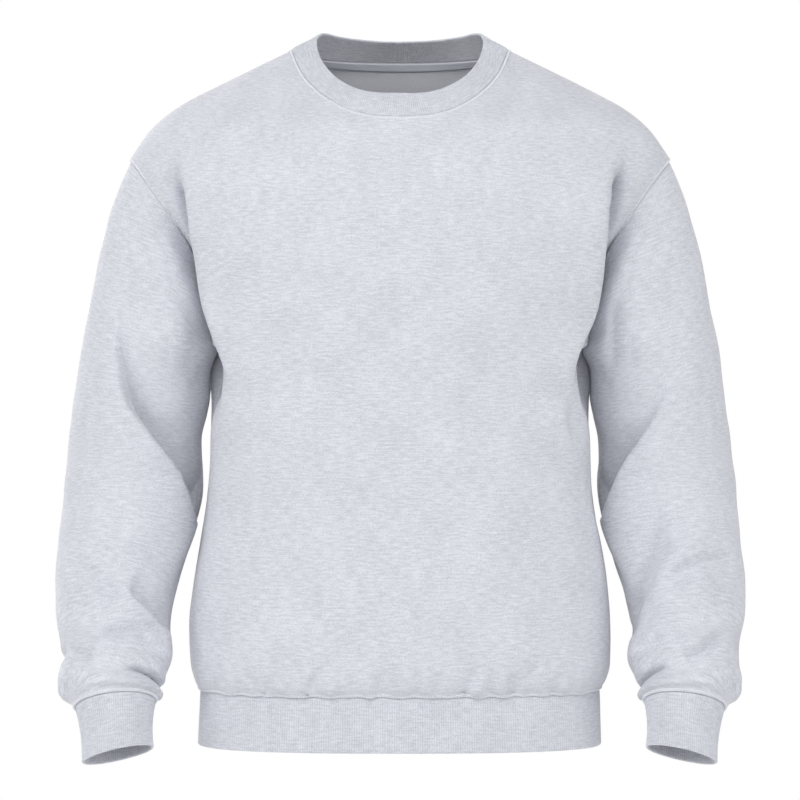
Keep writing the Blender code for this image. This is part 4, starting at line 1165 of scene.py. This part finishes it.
def new_group(name, inputs):
    """A geometry node tree with a mesh going in and out and named inputs: its nodes, inputs and result."""
    tree = bpy.data.node_groups.new(name, "GeometryNodeTree")
    tree.interface.new_socket("Geometry", in_out="INPUT", socket_type="NodeSocketGeometry")
    tree.interface.new_socket("Geometry", in_out="OUTPUT", socket_type="NodeSocketGeometry")
    for label in inputs:
        tree.interface.new_socket(label, in_out="INPUT", socket_type="NodeSocketFloat")
    tree.interface.new_socket("Material", in_out="INPUT", socket_type="NodeSocketMaterial")
    nodes = Nodes(tree)
    return nodes, nodes.add("NodeGroupInput", "Inputs").outputs, nodes.add("NodeGroupOutput", "Result").inputs


def close_group(nodes, geometry, material, result):
    """Ends a tree in Realize Instances and Set Material."""
    real = nodes.add("GeometryNodeRealizeInstances", "Realize", {"Geometry": geometry})
    painted = nodes.add("GeometryNodeSetMaterial", "Set Material",
                        {"Geometry": real.outputs["Geometry"], "Material": material})
    nodes.tree.links.new(painted.outputs["Geometry"], result[0])
    return nodes.tree


def rib_tree():
    """Raises ribs on a band: each point moves out by the rib wave of its place round the band."""
    nodes, given, result = new_group("Rib knit", ("Rib Height",))
    angle = nodes.math("MULTIPLY", "Angle", nodes.stored("Rib place", "rib_place"), TURN)
    wave = nodes.math("COSINE", "Wave", angle)
    masked = nodes.math("MULTIPLY", "Masked wave", wave, nodes.stored("Rib share", "rib_share"))
    half = nodes.math("MULTIPLY", "Half height", given["Rib Height"], 0.5)
    lift = nodes.math("MULTIPLY", "Lift", masked, half)
    outward = nodes.stored("Rib outward", "rib_outward", "FLOAT_VECTOR")
    offset = nodes.add("ShaderNodeVectorMath", "Offset", {0: outward, "Scale": lift}, operation="SCALE")
    moved = nodes.add("GeometryNodeSetPosition", "Raise ribs",
                      {"Geometry": given["Geometry"], "Offset": offset.outputs["Vector"]})
    # the rib's height is kept for the rib material, which paints shade in the grooves and a highlight on the
    # tops from it
    kept = nodes.add("GeometryNodeStoreNamedAttribute", "Keep rib height",
                     {"Geometry": moved.outputs["Geometry"], "Name": "rib_height", "Value": masked},
                     data_type="FLOAT", domain="POINT")
    return close_group(nodes, kept.outputs["Geometry"], given["Material"], result)


def stitch_tree():
    """Lays stitches end to end along seam lines, each a small rounded length of thread."""
    nodes, given, result = new_group("Coverstitch", ("Stitch Pitch", "Stitch Length", "Thread Width", "Sway"))
    line = nodes.add("GeometryNodeMeshToCurve", "Seam line", {"Mesh": given["Geometry"]})
    spaced = nodes.add("GeometryNodeResampleCurve", "One point a stitch",
                       {"Curve": line.outputs["Curve"], "Length": given["Stitch Pitch"]}, mode="LENGTH")
    thread = nodes.add("GeometryNodeMeshUVSphere", "Thread", THREAD_BALL)
    size = nodes.add("ShaderNodeCombineXYZ", "Stitch size",
                     {"X": given["Stitch Length"], "Y": given["Thread Width"], "Z": given["Thread Width"]})
    tangent = nodes.add("GeometryNodeInputTangent", "Along").outputs["Tangent"]
    along = nodes.add("FunctionNodeAlignRotationToVector", "Lie along", {"Vector": tangent}, axis="X")
    outward = nodes.stored("Outward", "outward", "FLOAT_VECTOR")
    upright = nodes.add("FunctionNodeAlignRotationToVector", "Face out",
                        {"Rotation": along.outputs["Rotation"], "Vector": outward}, axis="Z", pivot_axis="X")
    number = nodes.add("GeometryNodeInputIndex", "Stitch number").outputs["Index"]
    odd = nodes.math("MODULO", "Odd stitch", number, 2.0)
    way = nodes.math("MULTIPLY_ADD", "To or fro", odd, 2.0, -1.0)
    angle = nodes.math("MULTIPLY", "Sway angle", way, given["Sway"])
    sway = nodes.add("FunctionNodeAxisAngleToRotation", "Sway", {"Axis": (0.0, 0.0, 1.0), "Angle": angle})
    turned = nodes.add("FunctionNodeRotateRotation", "Lean",
                       {"Rotation": upright.outputs["Rotation"], "Rotate By": sway.outputs["Rotation"]},
                       rotation_space="LOCAL")
    laid = nodes.add("GeometryNodeInstanceOnPoints", "Lay stitches",
                     {"Points": spaced.outputs["Curve"], "Instance": thread.outputs["Mesh"],
                      "Rotation": turned.outputs["Rotation"], "Scale": size.outputs["Vector"]})
    return close_group(nodes, laid.outputs["Instances"], given["Material"], result)


def apply_tree(piece, tree, values):
    """Runs a tree on a piece and keeps its result as the piece's plain mesh."""
    modifier = piece.modifiers.new(tree.name, "NODES")
    modifier.node_group = tree
    for item in tree.interface.items_tree:
        if item.item_type == "SOCKET" and item.in_out == "INPUT" and item.name in values:
            modifier[item.identifier] = values[item.name]
    depsgraph = bpy.context.evaluated_depsgraph_get()
    made = bpy.data.meshes.new_from_object(piece.evaluated_get(depsgraph), depsgraph=depsgraph)
    piece.modifiers.remove(modifier)
    old = piece.data
    piece.data = made
    bpy.data.meshes.remove(old)
    made.name = piece.name
    made.shade_smooth()
    return piece


# Rib bands

def band_section(height, radius):
    """The outline of a band's cross-section: places from the seam and depths, round from outside to in."""
    end = height - radius
    outer = list(BAND_PLACES) + list(np.linspace(BAND_PLACES[-1], end, BAND_STEPS + 1)[1:-1])
    places = outer + [end + radius * math.cos(math.radians(turn)) for turn in EDGE_ARC]
    depths = [radius] * len(outer) + [radius * math.sin(math.radians(turn)) for turn in EDGE_ARC]
    return np.array(places + outer[::-1]), np.array(depths + [-radius] * len(outer))


def band_facing(places, depths, height, radius, normals, down):
    """Which way a band's surface faces at each place: out or in, and down where its edge turns."""
    beyond = np.where(places > height - radius, places - height + radius, 0)
    level = np.cos(np.clip(beyond / radius, 0, 1) * math.pi / 2)
    sign = np.where(depths > 0, 1.0, -1.0)
    return unit(normals * (sign * level)[:, None, None] + down * np.sqrt(1 - level ** 2)[:, None, None])


def rib_band(name, seam, rim, settings, seed, bow=0.0):
    """A folded rib band between two rings of points and normals, with its ribs raised."""
    radius = settings.rib_thickness / 2
    height = np.linalg.norm(rim[0] - seam[0], axis=1).mean()
    places, depths = band_section(height, radius)
    share = (places / height)[:, None, None]
    points = seam[0] * (1 - share) + rim[0] * share
    normals = unit(seam[1] * (1 - share) + rim[1] * share)
    curve = bow * 4 * share[..., 0] * (1 - share[..., 0])
    groove = SEAMS["neck"]["groove"] * BAND_GROOVE * np.exp(-(places / GROOVE_WIDTH) ** 2) * (depths > 0)
    uneven, wavelength = BAND_WANDER
    wander = uneven * ripple(np.broadcast_to(points[:1], points.shape), wavelength, seed)
    wander = wander * ease(places / height)[:, None]
    points = points + normals * (depths[:, None] + curve - groove[:, None] + wander)[..., None]
    shape = points.shape[:2]
    number = np.arange(shape[1])
    start, length = RIB_START
    attributes = {
        "rib_place": np.broadcast_to(number / RIB_COLUMNS, shape).ravel(),
        "rib_share": np.broadcast_to(ease((places - start) / length)[:, None], shape).ravel(),
        "rib_outward": band_facing(places, depths, height, radius, normals,
                                   unit(rim[0] - seam[0])[None]).reshape(-1, 3),
    }
    quads = grid_quads(*shape, closed=True, rolled=True)
    if winds_inward(quads[shape[1] * 4], points, normals):
        quads = quads[:, ::-1]
    piece = new_mesh(name, points.reshape(-1, 3), quads, attributes)
    across = np.broadcast_to(number * settings.rib_pitch / RIB_COLUMNS, shape)
    along = np.broadcast_to(places[:, None], shape)
    girth = np.full(shape, shape[1] * settings.rib_pitch / RIB_COLUMNS)
    set_cloth_map(piece.data, across.ravel(), along.ravel(), girth.ravel())
    return apply_tree(piece, MADE["rib_tree"], {"Rib Height": settings.rib_height * MM,
                                                "Material": MADE["rib"]})


def rib_count(ring, pitch):
    loop = np.concatenate([ring, ring[:1]])
    return round(travelled(loop[:, None], 0)[-1, 0] / pitch)


def rib_ring(points, normals, pitch):
    """A seam's closed line with a whole number of ribs round it, and its normals."""
    both = closed_line(np.concatenate([points, normals], axis=1), rib_count(points, pitch) * RIB_COLUMNS)
    return both[:, :3], unit(both[:, 3:])


# Coverstitches

def line_at(points, normals, distances, at):
    """Where each line of a grid reaches a distance from its start: the point and the normal there."""
    index = np.clip(np.sum(distances < at, axis=1), 1, distances.shape[1] - 1)
    rows = np.arange(len(points))
    low, high = distances[rows, index - 1], distances[rows, index]
    t = ((at - low) / (high - low))[:, None]
    return (points[rows, index - 1] * (1 - t) + points[rows, index] * t,
            unit(normals[rows, index - 1] * (1 - t) + normals[rows, index] * t))


def edge_lines(cloth, axis, far, span=slice(None)):
    """A piece's lines that run away from one of its edges: outer points, normals and distances run."""
    points, normals, outer = cloth
    run = travelled(points, axis)
    grids = (outer, normals, run.take([-1], axis) - run if far else run)
    if far:
        grids = [np.flip(grid, axis) for grid in grids]
    if axis == 0:
        grids = [np.swapaxes(grid, 0, 1) for grid in grids]
    return [grid[span] for grid in grids]


def stitch_lines(halves):
    """The closed lines of a coverstitch, from the lines that run away from each half of its seam."""
    lines = []
    for at in STITCHED:
        (line, turned), *rest = [line_at(*half, at) for half in halves]
        for back, back_turned in rest:
            line = np.concatenate([line, back[-2:0:-1]])
            turned = np.concatenate([turned, back_turned[-2:0:-1]])
        lines.append((line, turned))
    return lines


def lay_thread(name, lines, stitch, width):
    """The stitches of one kind along closed lines; a stitch is its pitch, its length and its sway."""
    edges = []
    for line, _ in lines:
        first, count = len(edges), len(line)
        edges += [(first + k, first + (k + 1) % count) for k in range(count)]
    points, normals = (np.concatenate(parts) for parts in zip(*lines))
    mesh = bpy.data.meshes.new(name)
    mesh.from_pydata((points * MM).tolist(), edges, [])
    layer = mesh.attributes.new("outward", "FLOAT_VECTOR", "POINT")
    layer.data.foreach_set("vector", normals.astype(np.float32).ravel())
    pitch, length, sway = stitch
    piece = apply_tree(new_object(name, mesh), MADE["stitch_tree"], {
        "Stitch Pitch": pitch * MM,
        "Stitch Length": length * MM,
        "Thread Width": width * MM,
        "Sway": sway,
        "Material": MADE["thread"],
    })
    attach(piece, "root")
    return piece


def sew(name, halves, settings):
    """A coverstitch: its two needle rows and the covering thread that sways between them."""
    lines = stitch_lines(halves)
    reach, pitch = STITCH_ROWS[1] - STITCH_ROWS[0], settings.cover_pitch
    straight = (settings.stitch_pitch, settings.stitch_length, 0.0)
    cover = (pitch, math.hypot(reach, pitch), math.atan2(reach, pitch))
    return [lay_thread(name + "_rows", lines[:-1], straight, settings.thread_width),
            lay_thread(name + "_cover", lines[-1:], cover, settings.thread_width)]


# What the operators share
MADE = {}


def garment():
    if "garment" not in MADE:
        MADE["garment"] = cut_garment()
    return MADE["garment"]


def declare(piece, node):
    """Puts a finished piece of cloth on the garment's body and hides the solid it stands for."""
    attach(piece, "root")
    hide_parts(node)


# Properties

def length_property(name, description, default, low=0.0, high=2000.0):
    """A length in millimetres."""
    return bpy.props.FloatProperty(name=name, description=description, default=default, min=low, max=high,
                                   precision=2)


def colour_property(name, description, default):
    return bpy.props.FloatVectorProperty(name=name, description=description, default=default, size=4,
                                         min=0.0, max=1.0, subtype="COLOR")


class SweatshirtCloth(bpy.types.PropertyGroup):
    """Sizes of the cloth, in millimetres."""

    jersey_thickness: length_property("Jersey thickness", "Thickness of the fleece-backed jersey", 2.0)
    rib_thickness: length_property("Rib thickness", "Thickness of the folded rib knit", 2.4)
    rib_pitch: length_property("Rib pitch", "Distance from one rib to the next", 2.25, 0.5)
    rib_height: length_property("Rib height", "Height of a rib above the groove beside it", 0.6)
    tape_thickness: length_property("Tape thickness", "Thickness of the neck tape", 1.0)
    tape_width: length_property("Tape width", "Width of the neck tape", 9.0)
    tape_start: length_property("Tape start", "Distance of the neck tape below the neck seam", 1.5)


class SweatshirtStitches(bpy.types.PropertyGroup):
    """Sizes of the coverstitch, in millimetres."""

    stitch_pitch: length_property("Stitch pitch", "Distance from one stitch to the next", 2.7, 0.5)
    stitch_length: length_property("Stitch length", "Length of thread that shows in a stitch", 2.5)
    cover_pitch: length_property("Cover pitch", "Way along the seam of each sway of the cover", 1.5, 0.5)
    thread_width: length_property("Thread width", "Width of the thread", 0.7)


class SweatshirtColours(bpy.types.PropertyGroup):
    """Colours of the yarns."""

    jersey_light: colour_property("Jersey light", "Pale yarn of the heather", (0.645, 0.657, 0.71, 1.0))
    jersey_dark: colour_property("Jersey dark", "Grey yarn of the heather", (0.46, 0.472, 0.52, 1.0))
    fleece_light: colour_property("Fleece light", "Pale tufts of the brushed side", (0.66, 0.67, 0.715, 1.0))
    fleece_dark: colour_property("Fleece dark", "Grey tufts of the brushed side", (0.50, 0.51, 0.555, 1.0))
    tape_light: colour_property("Tape light", "High threads of the twill", (0.72, 0.74, 0.80, 1.0))
    tape_dark: colour_property("Tape dark", "Low threads of the twill", (0.54, 0.56, 0.62, 1.0))
    thread_light: colour_property("Thread light", "Sewing thread", (0.82, 0.83, 0.87, 1.0))
    thread_dark: colour_property("Thread dark", "Sewing thread in its twist", (0.68, 0.69, 0.74, 1.0))


class SweatshirtStage(bpy.types.PropertyGroup):
    """Floor, lights and camera."""

    floor_height: bpy.props.FloatProperty(
        name="Floor height", description="Height of the floor, for a wearer standing on it", default=-1.45,
        unit="LENGTH")
    camera_distance: bpy.props.FloatProperty(
        name="Camera distance", description="From the camera to the middle of the neck", default=3.0,
        unit="LENGTH")
    camera_height: bpy.props.FloatProperty(
        name="Camera height", description="Height of the camera", default=-0.349, unit="LENGTH")
    key_power: bpy.props.FloatProperty(
        name="Key light", description="Power of the soft light at front left", default=44.5, subtype="POWER")
    sky_strength: bpy.props.FloatProperty(
        name="Surround", description="Strength of the light from all round", default=0.47)


# Operators

class SWEATSHIRT_OT_materials(bpy.types.Operator):
    """Make the cloth materials and the node trees for ribs and stitches"""

    bl_idname = "sweatshirt.materials"
    bl_label = "Cloth Materials"

    def execute(self, context):
        colours = context.scene.sweatshirt_colours

        def pair(name):
            return {"light": getattr(colours, name + "_light"), "dark": getattr(colours, name + "_dark")}

        MADE["jersey"] = jersey_material(pair("jersey"))
        MADE["fleece"] = fleece_material(pair("fleece"))
        MADE["rib"] = rib_material(pair("jersey"))
        MADE["tape"] = tape_material(pair("tape"))
        MADE["thread"] = grained_material("thread", pair("thread"), roughness=0.75, sheen=0.15,
                                          scale=900.0, detail=2.0)
        MADE["rib_tree"] = rib_tree()
        MADE["stitch_tree"] = stitch_tree()
        return {"FINISHED"}


class SWEATSHIRT_OT_panels(bpy.types.Operator):
    """Make the front and back panels with their folds and seam relief"""

    bl_idname = "sweatshirt.panels"
    bl_label = "Body Panels"

    def execute(self, context):
        settings = context.scene.sweatshirt_cloth
        panels = garment()[0]
        for face, (points, normals) in panels.items():
            piece, outer = cloth_wall(face + "_panel", points, normals, panel_heights(points),
                                      settings.jersey_thickness, False, (MADE["jersey"], MADE["fleece"]))
            across = travelled(points, 1)
            across = across - across[:, across.shape[1] // 2][:, None]
            map_wall(piece, across, level_courses(points))
            MADE[face] = piece
            MADE[face + "_outer"] = outer
        return {"FINISHED"}


class SWEATSHIRT_OT_sleeves(bpy.types.Operator):
    """Make both sleeves with their folds and seam relief"""

    bl_idname = "sweatshirt.sleeves"
    bl_label = "Sleeves"

    def execute(self, context):
        settings = context.scene.sweatshirt_cloth
        for name, (points, normals) in garment()[1].items():
            piece, outer = cloth_wall("sleeve_" + name + "_cloth", points, normals, sleeve_heights(points),
                                      settings.jersey_thickness, True, (MADE["jersey"], MADE["fleece"]))
            map_wall(piece, *MADE["map_" + name])
            MADE["sleeve_" + name] = piece
            MADE["sleeve_" + name + "_outer"] = outer
        return {"FINISHED"}


class SWEATSHIRT_OT_ribs(bpy.types.Operator):
    """Make the collar, the waistband and both cuffs in rib knit"""

    bl_idname = "sweatshirt.ribs"
    bl_label = "Rib Bands"

    def execute(self, context):
        settings = context.scene.sweatshirt_cloth
        pitch = settings.rib_pitch
        _, sleeves, waist = garment()
        fine = np.linspace(0, 360, SAMPLES)[:-1]
        (seam, _), _ = neck_rings(fine)
        length = travelled(np.concatenate([seam, seam[:1]])[:, None], 0)[:, 0]
        columns = rib_count(seam, pitch) * RIB_COLUMNS
        turns = np.interp(np.arange(columns) / columns * length[-1], length, np.append(fine, 360))
        seam, rim = neck_rings(turns)
        MADE["collar"] = rib_band("collar_rib", seam, rim, settings, BAND_SEEDS["collar"], COLLAR_BOW)

        seam, rim = waist_rings(*rib_ring(*waist, pitch))
        MADE["waistband"] = rib_band("waistband_rib", seam, rim, settings, BAND_SEEDS["waistband"])

        for name, side in SIDES.items():
            points, normals = sleeves[name]
            seam, rim = cuff_rings(*rib_ring(points[-1], normals[-1], pitch), side)
            seed = BAND_SEEDS["cuffs"] + side
            MADE["cuff_" + name] = rib_band("cuff_" + name + "_rib", seam, rim, settings, seed, CUFF_BOW)
        return {"FINISHED"}


class SWEATSHIRT_OT_tape(bpy.types.Operator):
    """Make the twill tape inside the back neck seam"""

    bl_idname = "sweatshirt.tape"
    bl_label = "Neck Tape"

    def execute(self, context):
        settings = context.scene.sweatshirt_cloth
        points, normals = garment()[0]["back"]
        lines = points[::-1, NECK_SPAN].transpose(1, 0, 2)
        line_normals = normals[::-1, NECK_SPAN].transpose(1, 0, 2)
        distances = travelled(points[::-1, NECK_SPAN], 0).T
        depth = settings.jersey_thickness / 2 + TAPE_GAP + settings.tape_thickness / 2
        rows, row_normals = [], []
        steps = np.linspace(0, settings.tape_width, TAPE_LINES)
        for step in steps:
            place, normal = line_at(lines, line_normals, distances, settings.tape_start + step)
            edge = 1 - min(step, settings.tape_width - step) / TAPE_EDGE["width"]
            rows.append(place - normal * (depth - TAPE_EDGE["depth"] * max(0.0, edge)))
            row_normals.append(normal)
        grid = np.array(rows)
        piece, _ = cloth_wall("neck_tape_twill", grid, np.array(row_normals), np.zeros(grid.shape[:2]),
                              settings.tape_thickness, False, (MADE["tape"], MADE["tape"]))
        across = travelled(grid, 1)
        map_wall(piece, across, np.broadcast_to(steps[:, None], across.shape))
        MADE["tape_piece"] = piece
        return {"FINISHED"}


class SWEATSHIRT_OT_stitches(bpy.types.Operator):
    """Sew the coverstitches beside the neck, armhole, waist and cuff seams"""

    bl_idname = "sweatshirt.stitches"
    bl_label = "Coverstitches"

    def execute(self, context):
        settings = context.scene.sweatshirt_stitches
        panels, sleeves, _ = garment()
        faces = [panels[face] + (MADE[face + "_outer"],) for face in ("front", "back")]
        for name, side in SIDES.items():
            halves = [edge_lines(face, 1, side > 0, slice(PIT, None)) for face in faces]
            MADE["armhole_" + name] = sew("stitches_armhole_" + name, halves, settings)
        neck = [edge_lines(face, 0, True, NECK_SPAN) for face in faces]
        MADE["neck_stitches"] = sew("stitches_neck", neck, settings)
        waist = [edge_lines(face, 0, False) for face in faces]
        MADE["waist_stitches"] = sew("stitches_waist", waist, settings)
        for name in SIDES:
            sleeve = sleeves[name] + (MADE["sleeve_" + name + "_outer"],)
            cuff = [edge_lines(sleeve, 0, True)]
            MADE["cuff_stitches_" + name] = sew("stitches_cuff_" + name, cuff, settings)
        return {"FINISHED"}


class SWEATSHIRT_OT_declare(bpy.types.Operator):
    """Put every piece on the garment's body and hide the solid that it stands for"""

    bl_idname = "sweatshirt.declare"
    bl_label = "Declare Cloth"

    def execute(self, context):
        front, back = MADE["front"], MADE["back"]
        declare(front, "front")
        declare(back, "back")
        for name in ("left", "right"):
            sleeve = MADE["sleeve_" + name]
            declare(sleeve, "sleeve_" + name)
            declare(MADE["cuff_" + name], "cuff_" + name)
        for name in ("collar", "waistband"):
            declare(MADE[name], name)
        declare(MADE["tape_piece"], "neck_tape")
        return {"FINISHED"}


class SWEATSHIRT_OT_stage(bpy.types.Operator):
    """Set the pale floor, the soft studio light and the camera"""

    bl_idname = "sweatshirt.stage"
    bl_label = "Stage"

    def execute(self, context):
        stage = context.scene.sweatshirt_stage
        turns = np.linspace(0, TURN, FLOOR["corners"] + 1)[:-1]
        height = np.full(len(turns), stage.floor_height)
        rim = np.stack([np.cos(turns) * FLOOR["radius"], np.sin(turns) * FLOOR["radius"], height], axis=1)
        mesh = bpy.data.meshes.new("studio_floor")
        mesh.from_pydata(rim.tolist(), [], [list(range(len(rim)))])
        mesh.materials.append(grained_material("studio_floor", FLOOR_TONES, roughness=0.8, sheen=0.0,
                                               scale=60.0, detail=3.0))
        new_object("studio_floor", mesh)

        world = bpy.data.worlds.new("studio_surround")
        world.use_nodes = True
        background = world.node_tree.nodes["Background"]
        background.inputs["Color"].default_value = (1.0, 1.0, 1.0, 1.0)
        nodes = Nodes(world.node_tree)
        seen = nodes.add("ShaderNodeLightPath", "Ray kind").outputs["Is Camera Ray"]
        strength = nodes.ranged("White where seen", seen, 0.0, 1.0, stage.sky_strength)
        world.node_tree.links.new(strength, background.inputs["Strength"])
        context.scene.world = world

        for name, (place, size, share) in SOFTBOXES.items():
            self.softbox(name, place, size, stage.key_power * share)

        lens = bpy.data.cameras.new("front_camera")
        lens.lens = LENS
        lens.sensor_width = 36.0
        camera = new_object("front_camera", lens)
        camera.location = (0.0, -stage.camera_distance, stage.camera_height)
        camera.rotation_euler = (math.pi / 2, 0.0, 0.0)
        context.scene.camera = camera
        context.scene.view_settings.view_transform = "Standard"
        context.scene.view_settings.look = "None"
        return {"FINISHED"}

    def softbox(self, name, place, size, power):
        """A square soft light that faces the middle of the garment."""
        light = bpy.data.lights.new(name, "AREA")
        light.size = size
        light.energy = power
        holder = new_object(name, light)
        holder.location = place
        aim = np.array(AIM) - np.array(place)
        flat = math.hypot(aim[0], aim[1])
        holder.rotation_euler = (math.atan2(flat, -aim[2]), 0.0, math.atan2(aim[1], aim[0]) - math.pi / 2)


class SWEATSHIRT_PT_panel(bpy.types.Panel):
    """Lists the pieces of the sweatshirt and their sizes"""

    bl_label = "Crewneck Sweatshirt"
    bl_idname = "SWEATSHIRT_PT_panel"
    bl_space_type = "VIEW_3D"
    bl_region_type = "UI"
    bl_category = "Sweatshirt"

    def draw(self, context):
        layout = self.layout
        for group in PROPERTY_GROUPS:
            settings = getattr(context.scene, group)
            box = layout.box()
            box.label(text=group.split("_")[1].title())
            for name in type(settings).__annotations__:
                box.prop(settings, name)
        for operator in OPERATORS:
            layout.operator(operator.bl_idname)


PROPERTY_GROUPS = {
    "sweatshirt_cloth": SweatshirtCloth,
    "sweatshirt_stitches": SweatshirtStitches,
    "sweatshirt_colours": SweatshirtColours,
    "sweatshirt_stage": SweatshirtStage,
}
OPERATORS = (
    SWEATSHIRT_OT_materials,
    SWEATSHIRT_OT_panels,
    SWEATSHIRT_OT_sleeves,
    SWEATSHIRT_OT_ribs,
    SWEATSHIRT_OT_tape,
    SWEATSHIRT_OT_stitches,
    SWEATSHIRT_OT_declare,
    SWEATSHIRT_OT_stage,
)


def register():
    for name, group in PROPERTY_GROUPS.items():
        bpy.utils.register_class(group)
        setattr(bpy.types.Scene, name, bpy.props.PointerProperty(type=group))
    for operator in OPERATORS:
        bpy.utils.register_class(operator)
    bpy.utils.register_class(SWEATSHIRT_PT_panel)


def unregister():
    bpy.utils.unregister_class(SWEATSHIRT_PT_panel)
    for operator in reversed(OPERATORS):
        bpy.utils.unregister_class(operator)
    for name, group in PROPERTY_GROUPS.items():
        delattr(bpy.types.Scene, name)
        bpy.utils.unregister_class(group)


def main():
    register()
    for operator in OPERATORS:
        area, step = operator.bl_idname.split(".")
        getattr(getattr(bpy.ops, area), step)()


if __name__ == "__main__":
    main()
